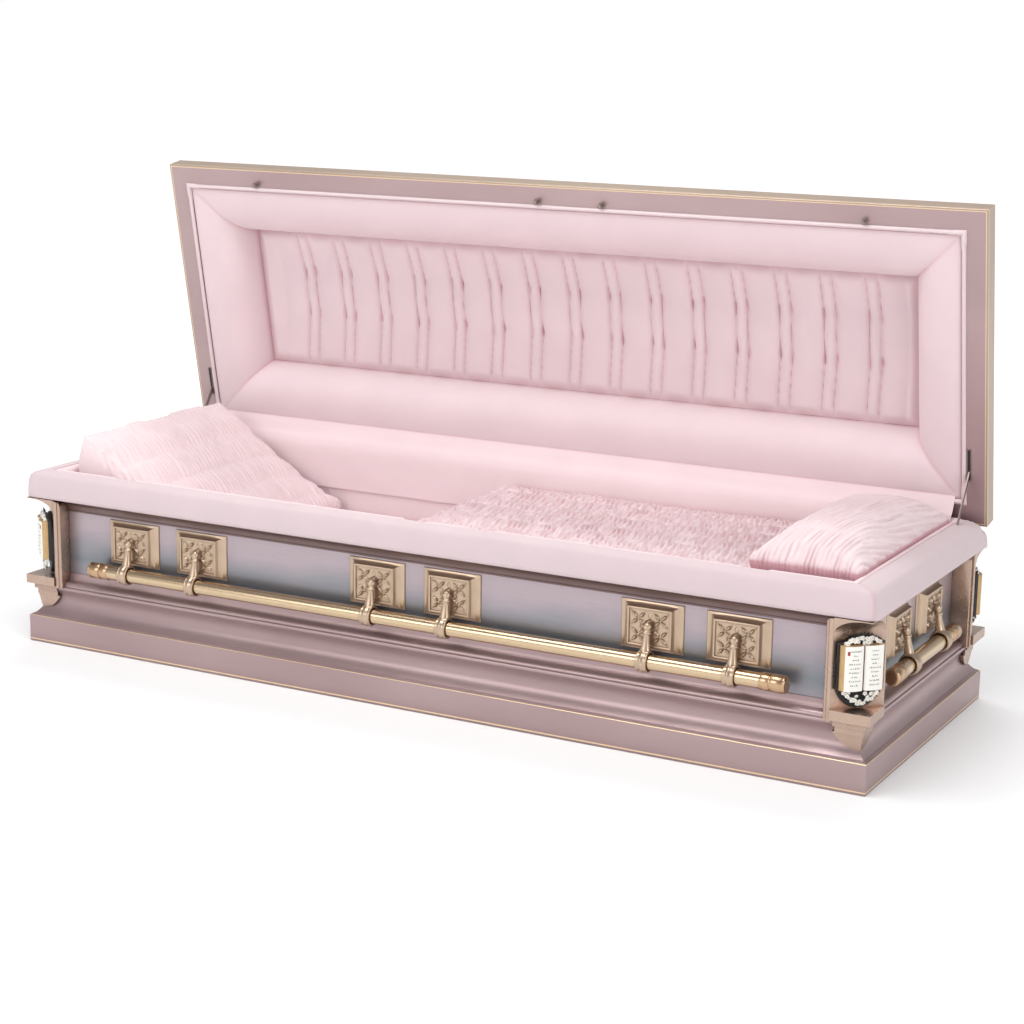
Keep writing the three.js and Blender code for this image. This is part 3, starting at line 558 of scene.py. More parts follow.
def make_object(name, points, faces, materials, slots=None, sharp=32.0, weld=0.01, seam=None):
    """A mesh object from millimetre points: welded, faces turned outward, smooth but for sharp edges."""
    mesh = bpy.data.meshes.new(name)
    mesh.from_pydata((np.asarray(points).reshape(-1, 3) * MM).tolist(), [], faces)
    for material in materials:
        mesh.materials.append(material)
    if slots is not None:
        mesh.polygons.foreach_set("material_index", np.array(slots, np.int32))
    if seam is not None:
        add_seam_and_shade(mesh, seam)
    work = bmesh.new()
    work.from_mesh(mesh)
    bmesh.ops.remove_doubles(work, verts=work.verts, dist=weld * MM)
    bmesh.ops.dissolve_degenerate(work, edges=work.edges, dist=weld * MM)
    bmesh.ops.recalc_face_normals(work, faces=work.faces)
    work.to_mesh(mesh)
    work.free()
    mesh.shade_smooth()
    mesh.set_sharp_from_angle(angle=math.radians(sharp))
    piece = bpy.data.objects.new(name, mesh)
    bpy.context.scene.collection.objects.link(piece)
    return piece


def voxel_mesh(piece, cell):
    """A mesh of even cells over a piece, which is left as it was."""
    modifier = piece.modifiers.new("skin", "REMESH")
    modifier.mode = "VOXEL"
    modifier.voxel_size = cell * MM
    graph = bpy.context.evaluated_depsgraph_get()
    mesh = bpy.data.meshes.new_from_object(piece.evaluated_get(graph))
    piece.modifiers.clear()
    return mesh


def add_seam_and_shade(mesh, values):
    """How much of the deeper seam colour each point has: along sewn seams, and as painted shade in creases,
    at joins and on undersides.
    """
    layer = mesh.attributes.new("seam", "FLOAT", "POINT")
    layer.data.foreach_set("value", np.asarray(values, np.float32).ravel())


def place(piece, body, slot, node):
    """Rides a piece on its body, in place of the CAD node that it stands for."""
    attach(piece, body)
    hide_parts(node)


def pad(piece, body, node):
    """Places a padded piece of the pink cloth."""
    place(piece, body, "pink_fabric", node)


def opened(points):
    """From the lid's closed place to its open one."""
    points = np.asarray(points, float).reshape(-1, 3)
    y, z = points[:, 1] - HINGE_Y, points[:, 2] - HINGE_Z
    c, s = math.cos(OPEN_ANGLE), math.sin(OPEN_ANGLE)
    return np.stack([points[:, 0], HINGE_Y + y * c + z * s, HINGE_Z - y * s + z * c], 1)


def value_noise(x, y, seed):
    """Smooth noise from 0 to 1 with one cell to each unit."""
    table = np.random.default_rng(seed).random((128, 128))
    x, y = np.broadcast_arrays(np.asarray(x, float), np.asarray(y, float))
    left, low = np.floor(x).astype(int), np.floor(y).astype(int)
    u, v = x - left, y - low
    u, v = u * u * (3 - 2 * u), v * v * (3 - 2 * v)
    corner = [table[(left + i) % 128, (low + j) % 128] for i in (0, 1) for j in (0, 1)]
    return (corner[0] * (1 - v) + corner[1] * v) * (1 - u) + (corner[2] * (1 - v) + corner[3] * v) * u


def smooth(low, high, value):
    t = np.clip((np.asarray(value, float) - low) / (high - low), 0, 1)
    return t * t * (3 - 2 * t)


def gathers(along, across, row, pitch, seed, lean=0.25):
    """Shirred cloth, 0 to 1: rows between gathering threads, each filled with short slanting puckers."""
    bent = across + 0.4 * row * (value_noise(along / (2.0 * row), across / row, seed) - 0.5)
    number = np.floor(bent / row)
    inside = bent / row - number
    puff = np.sin(math.pi * inside) ** 0.6
    slant = along + lean * row * (inside - 0.5)
    phase = slant / pitch + 1.2 * value_noise(slant / (2.4 * pitch), number * 5.3, seed + 1) + 0.37 * number
    pucker = 0.5 + 0.5 * np.sin(2 * math.pi * phase)
    strength = value_noise(along / (2.5 * pitch), across / (0.8 * row) + 31, seed + 2)
    return (0.3 + 0.7 * puff) * pucker * (0.65 + 0.35 * strength)


# Base moulding and body


def base_moulding():
    profile = [(WALL_INSET - GAP, 0.0), (1.2, 0.0), (0.0, 1.2), (0.0, 5.0), (0.0, 7.6), (0.0, PLINTH - 2.4)]
    profile += [(0.3, PLINTH), (1.6, PLINTH + 1.2), (4.2, PLINTH + 1.6), (4.5, PLINTH + 3.0)]
    profile += [(7.2, PLINTH + 3.4), (7.5, PLINTH + 4.6), (10.0, PLINTH + 5.0)]
    profile += curve((10, PLINTH + 5), (46, 100), (13, 134), 22)
    profile += [(12.4, 136.0), (12.6, 138.5), (13.6, 140.2), (16.6, 141.6), (16.2, 143.4)]
    profile += curve((16.2, 143.4), (18, 152), (32, 154.3), 9)
    profile += curve((32, 154.3), (37.5, 157), (38, MOULDING_TOP), 9)
    profile += [(WALL_INSET - GAP, MOULDING_TOP)]
    gold_segments = {3, 6}

    def end_inset(inset):
        return inset + END_EXTRA * np.clip((inset - 32) / 6, 0, 1)

    stations = ring_grid(profile, HALF_X, HALF_Y, 12, 6, end_inset)
    rows, columns = stations.shape[:2]
    slots = [int(j in gold_segments) for j in range(columns)] * rows
    faces = grid_faces(rows, columns, True, True)
    piece = make_object("base_moulding_skin", stations, faces, [MAUVE, PINLINE], slots)
    place(piece, "casket", "mauve_paint", "base_moulding")


def body_shell():
    cornice = [(-1.2, CORNICE_BOTTOM + 0.2), (-2.6, CORNICE_BOTTOM + 1.4), (-2.6, CORNICE_BOTTOM + 4)]
    cornice += [(-1.6, CORNICE_BOTTOM + 5)]
    cornice += curve((-1.6, CORNICE_BOTTOM + 5), (-5, RIM - 5), (-CORNICE_REACH, RIM - 2), 12)
    profile = [(BODY_Y, 0), (0, 0), (0, MOULDING_TOP - 14), (0, CORNICE_BOTTOM), *cornice]
    profile += [(-CORNICE_REACH, RIM), (SHEET, RIM), (SHEET, SHEET), (BODY_Y, SHEET)]
    stations = ring_grid(profile, BODY_X, BODY_Y, 12, 6)
    rows, columns = stations.shape[:2]
    # Slot 1 takes the darker cornice paint, painted shade under the skirt.
    slots = [int(3 <= j <= 3 + len(cornice)) for j in range(columns - 1)] * rows
    build = Build()
    build.add(stations, grid_faces(rows, columns, True), slots)
    leaf = HINGE_Y - BARREL_RADIUS
    build.add(*box_mesh((-HINGE_HALF, leaf, RIM - 1), (HINGE_HALF, leaf + 2, HINGE_Z)), 1)
    knuckles = 33
    barrel = [(0, -HINGE_HALF)]
    for i in range(knuckles):
        start = -HINGE_HALF + 2 * HINGE_HALF * i / knuckles
        stop = start + 2 * HINGE_HALF / knuckles
        barrel += [(BARREL_RADIUS - 0.8, start + 0.3), (BARREL_RADIUS, start + 1), (BARREL_RADIUS, stop - 1)]
        barrel += [(BARREL_RADIUS - 0.8, stop - 0.3)]
    barrel += [(0, HINGE_HALF)]
    tube = lathe(barrel, 14) + np.array([0, HINGE_Y, HINGE_Z])
    build.add(tube, grid_faces(14, len(barrel), True), 2)
    for end in (-1, 1):
        inner = STAY_X + 1.55
        xs = sorted((end * inner, end * (inner + 2.5)))
        build.add(*box_mesh((xs[0], STAY_Y - 8, RIM - 1), (xs[1], STAY_Y + 8, STAY_Z + 6)), 2)
    piece = make_object("body_shell_skin", build.points(), build.faces, [PANEL, CORNICE, STEEL], build.slots)
    place(piece, "casket", "panel_paint", "body_shell")


# Handles


def leaf_height(x, z, centre, angle, length, width, rise):
    """A plump pointed leaf standing out of the field."""
    along = (x - centre[0]) * math.cos(angle) + (z - centre[1]) * math.sin(angle)
    across = (z - centre[1]) * math.cos(angle) - (x - centre[0]) * math.sin(angle)
    half = np.maximum(width / 2 * (1 - (2 * along / length) ** 2), 1e-6)
    inside = np.clip(1 - (across / half) ** 2, 0, 1)
    return np.where(np.abs(along) < length / 2, rise * inside ** 0.8, 0)


def field_relief(x, z):
    """Height of the bordered field: four crosses of leaves, their stems, a finial and two side scrolls."""
    height = np.zeros_like(x)
    for sx in (-1, 1):
        for sz in (-1, 1):
            centre = (sx * LEAF_ACROSS, sz * LEAF_UP)
            for turn in (42, 138, 222, 318):
                angle = math.radians(turn)
                middle = (centre[0] + 10.8 * math.cos(angle), centre[1] + 10.8 * math.sin(angle))
                height = np.maximum(height, leaf_height(x, z, middle, angle, 15.0, 7.4, 4.6))
            reach = np.hypot(x - centre[0], z - centre[1])
            for lean in (-1, 1):
                line = np.abs((x - centre[0]) * 0.67 - lean * (z - centre[1]) * 0.74)
                height = np.maximum(height, 1.5 * np.clip(1 - line / 1.2, 0, 1) * (reach < 22))
    height = np.maximum(height, leaf_height(x, z, (0, 23), math.pi / 2, 14, 7, 3.0))
    for side in (-1, 1):
        ring = np.abs(np.hypot(x - side * 17, z - 1.5) - 4.0)
        height = np.maximum(height, 2.2 * np.clip(1 - ring / 1.6, 0, 1))
    return height


def lug_mesh():
    """One lug plate about its own middle: a coved surround, a raised border and the carved field."""
    drop = LUG_BASE[1] - LUG_FACE[1]
    profile = [(0, GAP), (0.2, 2.0), (0.7, 3.0)]
    for q in np.linspace(0.12, 1, 12):
        profile.append((drop * q, 3.2 + (LUG_DEPTH - 3.6) * (1 - math.sqrt(max(1 - q * q, 0)))))
    floor = LUG_DEPTH - LUG_FIELD
    inner = drop + LUG_BORDER
    profile += [(drop + 0.5, LUG_DEPTH), (inner - 1.6, LUG_DEPTH), (inner - 0.9, LUG_DEPTH - 0.5)]
    profile += [(inner, floor), (inner, floor - 1), (inner, GAP)]
    widen = (LUG_BASE[0] - LUG_FACE[0]) / drop

    def end_inset(inset):
        return np.minimum(inset, drop) * widen + np.maximum(inset - drop, 0)

    ring = ring_grid(profile, LUG_BASE[0], LUG_BASE[1], 4, 4, end_inset)
    build = Build()
    build.add(ring, grid_faces(*ring.shape[:2], True, True))
    half_x, half_z = LUG_FACE[0] - LUG_BORDER + 0.3, LUG_FACE[1] - LUG_BORDER + 0.3
    columns, rows = 84, 68
    x, z = np.meshgrid(np.linspace(-half_x, half_x, columns), np.linspace(-half_z, half_z, rows))
    edge = np.minimum(half_x - np.abs(x), half_z - np.abs(z))
    socket = 3.4 * smooth(12.4, 10.8, np.hypot(x, z - (PIVOT_Z - LUG_Z)))
    out = floor + field_relief(x, z) * smooth(0.5, 2.0, edge) - socket
    build.add(np.stack([x, z, out], 2), grid_faces(rows, columns))
    points = build.points()
    turned = np.stack([points[:, 0], -points[:, 2], points[:, 1] + LUG_Z], 1)
    return turned, build.faces


def arm_mesh():
    """One handle arm: ball, collar, a neck that widens downward, and the banded ring round the bar."""
    lean = math.atan2(BAR_OUT - PIVOT_OUT, PIVOT_Z - BAR_Z)
    ball = [(10 * math.sin(a), 10 * math.cos(a)) for a in np.linspace(0, 0.8 * math.pi, 9)]
    collar = [(7.6, -8.6), (10.2, -10.6), (10.2, -13.4), (8.2, -15.4)]
    neck = through([*collar, (7.8, -21), (9.2, -34), (11.4, -47)], 4)
    profile = [*ball, *neck.tolist(), (11.4, -51), (0, -51)]
    stem = lathe(profile, 20).reshape(-1, 3)
    stem = np.stack([stem[:, 1], stem[:, 2] * 0.9, stem[:, 0]], 1)
    c, s = math.cos(lean), math.sin(lean)
    y, z = stem[:, 1], stem[:, 2]
    stem = np.stack([stem[:, 0], -PIVOT_OUT + y * c + z * s, PIVOT_Z + z * c - y * s], 1)
    build = Build()
    build.add(stem, grid_faces(20, len(profile), True))
    band = [(17.2, -12.4), (20.4, -13), (22.6, -12), (22.6, -9.6), (21.2, -8.2), (22.2, -4), (24.0, 0)]
    band += [(r, -x) for r, x in band[-2::-1]]
    ring = lathe(band, 40) + np.array([0, -BAR_OUT, BAR_Z])
    build.add(ring, grid_faces(40, len(band), True, True))
    return build.points(), build.faces


def arm_casting():
    """The arm as one continuous skin, slightly rounded as a casting is."""
    rough = make_object("arm_rough", *arm_mesh(), [BRONZE])
    mesh = voxel_mesh(rough, ARM_CELL)
    bpy.data.objects.remove(rough)
    work = bmesh.new()
    work.from_mesh(mesh)
    for _ in range(ARM_ROUNDING):
        bmesh.ops.smooth_vert(
            work, verts=work.verts, factor=0.5, use_axis_x=True, use_axis_y=True, use_axis_z=True)
    work.to_mesh(mesh)
    work.free()
    mesh.shade_smooth()
    mesh.name = "arm_pattern"
    return mesh


def handle_bar(half):
    """The bar's (radius, x) outline: a plain tube with a grooved and domed cap on each end."""
    groove = BAR_RADIUS + 0.4
    band = CAP_RADIUS - 0.5
    cap = [(BAR_RADIUS, 55.4), (band - 0.6, 55), (band, 54), (band, 36.4), (band - 0.6, 35.4), (groove, 35)]
    cap += [(groove, 33), (CAP_RADIUS - 0.6, 32.6), (CAP_RADIUS, 31.6), (CAP_RADIUS, 6.6), (groove + 1, 6)]
    cap += [(groove + 1, 5), (CAP_RADIUS - 0.3, 4.4), (CAP_RADIUS - 0.6, 3), (CAP_RADIUS - 1.8, 1.2)]
    cap += [(CAP_RADIUS - 4, 0.4), (CAP_RADIUS - 8, 0.1), (0, 0)]
    right = [(r, half - back) for r, back in cap]
    left = [(r, -x) for r, x in reversed(right)]
    slots = [1] * (len(left) - 1) + [0] + [1] * (len(right) - 1)
    return left + right, slots


def handles():
    lug_points, lug_faces = lug_mesh()
    lug = make_object("lug_pattern", lug_points, lug_faces, [BRONZE], sharp=40.0)
    lug_data = lug.data
    bpy.data.objects.remove(lug)
    arm_data = arm_casting()
    for side, turn, at, lugs, half, slide in SIDES:
        wall = Matrix.Translation((at[0] * MM, at[1] * MM, 0)) @ Matrix.Rotation(turn, 4, "Z")
        for i, x in enumerate(lugs, 1):
            for kind, data, body in (("lug", lug_data, "casket"), ("arm", arm_data, side + "_handle")):
                piece = bpy.data.objects.new(f"{kind}_{side}_{i}_cast", data)
                bpy.context.scene.collection.objects.link(piece)
                piece.matrix_world = wall @ Matrix.Translation((x * MM, 0, 0))
                place(piece, body, "bronze", f"{kind}_{side}_{i}")
        outline, slots = handle_bar(half)
        steps = 40
        points = lathe(outline, steps) + np.array([slide, -BAR_OUT, BAR_Z])
        faces = grid_faces(steps, len(outline), True)
        bar = make_object(f"bar_{side}_turned", points, faces, [GOLD, CAP], slots * steps, sharp=50.0)
        bar.matrix_world = wall
        place(bar, side + "_handle", "bar_gold", f"bar_{side}")


# Corner niches and books

BOOK_PAINTS = [PAPER, FORE_EDGE, GUTTER, BOARD, INK, INITIAL, PETAL, LEAF, POLLEN]
PAGES, EDGES, MIDDLE, COVER, STROKES, FIRST_STROKE, PETALS, LEAVES, HEARTS = range(len(BOOK_PAINTS))


def smooth_shading():
    """A node group that welds a faceted solid and shades it smooth between its sharp edges."""
    group = bpy.data.node_groups.new("smooth_between_edges", "GeometryNodeTree")
    group.interface.new_socket("Geometry", in_out="INPUT", socket_type="NodeSocketGeometry")
    group.interface.new_socket("Geometry", in_out="OUTPUT", socket_type="NodeSocketGeometry")
    start = add_node(group, "NodeGroupInput")
    end = add_node(group, "NodeGroupOutput")
    weld = add_node(group, "GeometryNodeMergeByDistance", {"Distance": 2e-5})
    plain = add_node(group, "GeometryNodeRemoveAttribute", {"Name": "custom_normal"})
    faces = add_node(group, "GeometryNodeSetShadeSmooth", domain="FACE")
    edges = add_node(group, "GeometryNodeSetShadeSmooth", {"Shade Smooth": False}, domain="EDGE")
    angle = add_node(group, "GeometryNodeInputMeshEdgeAngle")
    sharp = add_node(group, "FunctionNodeCompare", {"B": math.radians(34)}, operation="GREATER_THAN")
    chain = [start, weld, plain, faces, edges, end]
    for before, after in zip(chain, chain[1:]):
        group.links.new(before.outputs["Geometry"], after.inputs["Geometry"])
    group.links.new(angle.outputs["Unsigned Angle"], sharp.inputs["A"])
    group.links.new(sharp.outputs["Result"], edges.inputs["Selection"])
    return group


def dress_node(name, material, group):
    """A CAD node that stays as it is, with a finish and smooth shading."""
    node = NODES[name]
    node.data.materials.clear()
    node.data.materials.append(material)
    node.modifiers.new("shading", "NODES").node_group = group


def blossom(centre, facing, size, rng):
    """Five domed petals round a small centre."""
    build = Build()
    facing = Vector(facing).normalized()
    frame_turn = facing.to_track_quat("Z", "Y").to_matrix()
    start = rng.random() * 2 * math.pi
    rings = ((0.0, 0.42), (0.30, 0.34), (0.46, 0.06), (0.40, -0.12))
    for k in range(5):
        angle = start + k * 2 * math.pi / 5
        middle = Vector((math.cos(angle), math.sin(angle), 0.0)) * 0.55
        points = []
        for radius, rise in rings[1:]:
            for j in range(8):
                turn = j * math.pi / 4
                points.append(middle + Vector((radius * math.cos(turn), radius * math.sin(turn), rise)))
        points.append(middle + Vector((0, 0, rings[0][1])))
        placed = [Vector(centre) + frame_turn @ (p * size) for p in points]
        faces = grid_faces(3, 8, False, True)
        faces += [(j, (j + 1) % 8, 24) for j in range(8)] + [tuple(16 + j for j in range(7, -1, -1))]
        build.add(placed, faces, PETALS)
    seed = [Vector(centre) + frame_turn @ (Vector((0.22 * math.cos(a), 0.22 * math.sin(a), 0.38)) * size)
            for a in np.linspace(0, 2 * math.pi, 6, endpoint=False)]
    seed.append(Vector(centre) + frame_turn @ (Vector((0, 0, 0.56)) * size))
    build.add(seed, [(j, (j + 1) % 6, 6) for j in range(6)], HEARTS)
    return build


def leaf_blade(centre, direction, facing, length, width):
    """A folded pointed leaf, as two faces on each side of its vein."""
    along = Vector(direction).normalized()
    out = Vector(facing).normalized()
    across = along.cross(out).normalized()
    tail, tip = Vector(centre), Vector(centre) + along * length
    middle = tail + along * length * 0.45 + out * width * 0.25
    left = middle + across * width / 2 + out * width * 0.2
    right = middle - across * width / 2 + out * width * 0.2
    return [tail, left, tip, right, middle - out * 0.4], [(0, 1, 4), (1, 2, 4), (2, 3, 4), (3, 0, 4)]


def book_mesh():
    """An open book on its board with flowers above and below, as (across, depth, height) points."""
    face = NICHE_FACE - BOARD_THICK
    page = through([(1.2, 33.6), (5, 29.6), (20, 27.5), (33, 29.6), (41, 33)], 4).tolist()
    half = [(0, 34.4), *page, (43.6, 36.5), (46, 42), (46, 47), (0, 47.5)]
    slots = [MIDDLE] + [PAGES] * (len(page) - 1) + [EDGES] * 3 + [COVER]
    outline = [(-t, c) for t, c in half[-2:0:-1]] + half[:-1]
    strip_slots = slots[-2::-1] + slots[:-1]
    build = Build()
    levels = np.linspace(BOOK_BOTTOM, BOOK_TOP, 5)
    rows = [[(t, c, z) for t, c in outline] for z in levels]
    build.add(rows, grid_faces(len(levels), len(outline)), strip_slots * (len(levels) - 1))
    count = len(outline)
    for z in (BOOK_BOTTOM, BOOK_TOP):
        build.add([(t, c, z) for t, c in outline], [tuple(range(count))], EDGES)
    cover = 49.5
    build.add(*box_mesh((-cover, 46.5, BOOK_BOTTOM - 3), (cover, face + 0.5, BOOK_TOP + 3)), COVER)
    sides = 48
    turns = np.linspace(0, 2 * math.pi, sides, endpoint=False)
    across = BOARD_HALF * np.sign(np.cos(turns)) * np.abs(np.cos(turns)) ** 0.8
    height = (BOARD_TOP + BOARD_BOTTOM) / 2 + (BOARD_TOP - BOARD_BOTTOM) / 2 * np.sin(turns)
    rims = [np.stack([across, np.full(sides, depth), height], 1) for depth in (face, NICHE_FACE - GAP)]
    build.add(np.vstack(rims), grid_faces(2, sides, False, True), COVER)
    for rim in rims:
        build.add(rim, [tuple(range(sides))], COVER)
    write_pages(build, np.array(page))
    rng = np.random.default_rng(11)
    for z0, lift, count in ((BOOK_TOP + 2, 15, 22), (BOOK_BOTTOM - 4, -26, 26)):
        for i in range(count):
            across = (i / (count - 1) - 0.5) * 2
            spread = rng.uniform(0.0, 1.0) if i % 2 else rng.uniform(0.7, 1.0)
            height = z0 + lift * (1 - 0.9 * across * across) * spread
            centre = (across * 36, 43 - 5 * (1 - across * across) + rng.uniform(-3, 3), height)
            facing = (across * 0.6 + rng.uniform(-0.3, 0.3), -1, 0.3 * np.sign(lift) + rng.uniform(-0.3, 0.3))
            flower = blossom(centre, facing, rng.uniform(4.0, 5.8), rng)
            build.add(flower.points(), flower.faces, flower.slots)
        for i in range(14):
            across = (i / 13 - 0.5) * 2
            height = z0 + lift * (1 - across * across)
            root = (across * 32, 47, height)
            out = (across + rng.uniform(-0.7, 0.7), -0.5, np.sign(lift) * rng.uniform(0.3, 1.1))
            points, faces = leaf_blade(root, out, (0, -1, 0), rng.uniform(9, 14), rng.uniform(4.5, 6.5))
            build.add(points, faces, LEAVES)
    return build


def write_pages(build, page):
    """Rows of short shallow strokes on both pages, following the pages' curve."""
    rng = np.random.default_rng(5)
    run = np.concatenate([[0], np.cumsum(np.hypot(*np.diff(page, axis=0).T))])

    def stroke(start, end, side, z, lean, thick, slot):
        corners = []
        for distance, height in ((start, z), (end, z + lean), (end, z + lean + thick), (start, z + thick)):
            across, depth = (np.interp(distance, run, axis) for axis in page.T)
            corners.append((side * across, depth - 0.22, height))
        build.add(corners, [(0, 1, 2, 3)], slot)

    for side in (-1, 1):
        for row in range(9):
            z = BOOK_TOP - 11 - row * 8.6
            middle = run[-1] * 0.52
            width = rng.uniform(10, 28)
            cursor = middle - width / 2
            while cursor < middle + width / 2:
                length = rng.uniform(1.2, 3.2)
                rise = rng.uniform(1.6, 3.4)
                lean = rng.uniform(-0.8, 0.8)
                stroke(cursor, cursor + length, side, z, lean, rise * 0.5, STROKES)
                stroke(cursor, cursor + 0.9, side, z, 0, rise, STROKES)
                cursor += length + rng.uniform(0.6, 2.6)
    stroke(33, 38, -1, 281, 0, 8, FIRST_STROKE)


def niche_strips(build):
    """Stepped strips beside the front right plate, one on each wall, with rounded tops."""
    levels = [STRIP_BOTTOM, STRIP_TOP - STRIP_CORNER]
    levels += [STRIP_TOP - STRIP_CORNER * (1 - math.sin(a)) for a in np.linspace(0.15, 0.46, 6) * math.pi]
    for on_end in (False, True):
        back = WALL_INSET - GAP + (END_EXTRA if on_end else 0)
        outline = [(80.5, 2.8), (82.3, 1.2), (89, 1.2), (90.6, 2.8), (90.6, 5.0), (92, 5.8), (96, 5.8)]
        outline += [(97.4, 7.2), (97.4, back), (80.5, back)]
        rings = []
        for z in levels:
            over = max(z - STRIP_TOP + STRIP_CORNER, 0) / STRIP_CORNER
            keep = 97.4 - STRIP_CORNER * (1 - math.sqrt(1 - over * over))
            plan = [(min(s, keep), inset) for s, inset in outline]
            rings.append([(inset, s, z) if on_end else (s, inset, z) for s, inset in plan])
        count = len(outline)
        points = np.array(rings)
        points = np.stack([HALF_X - points[..., 0], points[..., 1] - HALF_Y, points[..., 2]], 2)
        build.add(points, grid_faces(len(levels), count, False, True))
        for end in (points[0], points[-1]):
            build.add(end, [tuple(range(count))])


def niches():
    strips = Build()
    niche_strips(strips)
    strip_points = strips.points()
    for name, flip_x, flip_y in CORNERS:
        node = NODES[f"corner_niche_{name}"]
        build = Build()
        build.add([v.co / MM for v in node.data.vertices], [tuple(p.vertices) for p in node.data.polygons])
        build.add(strip_points * (flip_x, flip_y, 1), strips.faces)
        piece = make_object(f"niche_{name}_cast", build.points(), build.faces, [NICHE], sharp=30.0)
        place(piece, "casket", "bronze", node.name)


def corners():
    group = smooth_shading()
    niches()
    build = book_mesh()
    points = build.points()
    across, depth = points[:, 0], points[:, 1]
    x = HALF_X + (across - depth) / math.sqrt(2)
    y = -HALF_Y + (across + depth) / math.sqrt(2)
    for name, flip_x, flip_y in CORNERS:
        mirrored = np.stack([x * flip_x, y * flip_y, points[:, 2]], 1)
        book = make_object(f"open_book_{name}", mirrored, build.faces, BOOK_PAINTS, build.slots, 40.0, 0.002)
        place(book, "casket", "book", f"book_insert_{name}")
    for name in ("lid_stay_left", "lid_stay_right"):
        dress_node(name, STEEL, group)


# Lid


def crown_profile(skin):
    profile = [(skin, LIP), (skin + 2, LIP + 2.2), (skin + 5, LIP + 3)]
    profile += curve((skin + 5, LIP + 3), (skin + 12, LIP + 36), (skin + 44, LIP + 44 - skin), 12)
    profile += [(skin + 46, LIP + 46.5 - skin), (skin + 48, LIP + 48 - skin)]
    profile += curve((skin + 48, LIP + 48 - skin), (skin + 120, CROWN - 14 - skin), (LID_Y, CROWN - skin), 22)
    return profile


def lid_shell():
    flange = [(FLANGE, SHEET), (FLANGE, 0), (5.4, 0), (4.0, 0), (0.8, 0), (0, 0.8), (0, 3.0), (0, 5.0)]
    flange += [(0, LIP - 4), (0, LIP - 1.5)]
    outside = crown_profile(0)
    inside = crown_profile(SHEET)[::-1] + [(SHEET, SHEET)]
    profile = flange + outside + inside
    gold = {2, 6}
    lip = {3, 4, 5, 7, 8, 9, 10}
    stations = ring_grid([(e, LID_SEAT + h) for e, h in profile], LID_X, LID_Y, 24, 10)
    rows, columns = stations.shape[:2]
    ridge = len(flange) + len(outside) - 1
    kept = [k for k in range(rows * columns) if k % columns != ridge]
    faces = grid_faces(rows, columns, True, True)
    slots = [1 if k % columns in gold else 2 if k % columns in lip else 0 for k in kept]
    build = Build()
    build.add(stations, [faces[k] for k in kept], slots)
    leaf = HINGE_Y + BARREL_RADIUS + 1.4
    build.add(*box_mesh((-HINGE_HALF, leaf, LID_SEAT - 2), (HINGE_HALF, LID_Y - 1, LID_SEAT + 0.7)), 3)
    peg = [(0, 0), (8.2, 0), (8.2, 1.6), (4.6, 2.0), (4.6, 10), (3.4, 11), (3.4, 12)]
    peg += [(5.0, 12.6), (5.0, 16.4), (4.2, 17.6), (0, 17.8)]
    peg_y = CATCH_INSET - LID_Y
    for x in CATCH_AT:
        turned = lathe(peg, 18).reshape(-1, 3)
        shaft = np.stack([x + turned[:, 1], peg_y + turned[:, 2], LID_SEAT - turned[:, 0]], 1)
        build.add(shaft, grid_faces(18, len(peg), True), 3)
        tongue = box_mesh((x - 1.6, peg_y - 8, LID_SEAT - 15), (x + 1.6, peg_y, LID_SEAT - 12))
        build.add(*tongue, 3)
    for end in (-1, 1):
        slot_plate(build, end)
    points = opened(build.points())
    materials = [MAUVE, PINLINE, CHAMPAGNE, STEEL, BOARD]
    piece = make_object("lid_shell_skin", points, build.faces, materials, build.slots)
    place(piece, "lid", "mauve_paint", "lid_shell")


def slot_plate(build, end):
    """The guide on the flange that a stay passes through: a thin raised frame round a thin black sheet,
    painted shade standing for the open slot.
    """
    low, high = LID_Y - STAY_SLOT[1], LID_Y - STAY_SLOT[0]
    x = end * STAY_X
    # Painted shade: a thin black sheet fills the slot's opening.
    build.add(*box_mesh((x - 3.2, low + 2, LID_SEAT - 0.35), (x + 3.2, high - 2, LID_SEAT - 0.05)), 4)
    for side in (-1, 1):
        near, far = sorted((x + side * 3.2, x + side * 4.6))
        build.add(*box_mesh((near, low, LID_SEAT - 1.1), (far, high, LID_SEAT - 0.05)), 3)
    for a, b in ((low, low + 2), (high - 2, high)):
        build.add(*box_mesh((x - 4.6, a, LID_SEAT - 1.1), (x + 4.6, b, LID_SEAT - 0.05)), 3)


def round_corners(points, half_x, half_y, radius):
    """Rounds a ring's plan at its four corners, in place."""
    x, y = points[..., 0], points[..., 1]
    u, v = np.abs(x) - (half_x - radius), np.abs(y) - (half_y - radius)
    near = (u > 0) & (v > 0)
    pull = np.where(near, np.maximum(u, v) / np.maximum(np.hypot(u, v), 1e-9), 1)
    points[..., 0] = np.where(near, np.sign(x) * (half_x - radius + u * pull), x)
    points[..., 1] = np.where(near, np.sign(y) * (half_y - radius + v * pull), y)


def corner_distance(points, half_x, half_y):
    """How far along the nearer side each point is from the mitre at its corner."""
    return np.abs((half_x - np.abs(points[..., 0])) - (half_y - np.abs(points[..., 1])))


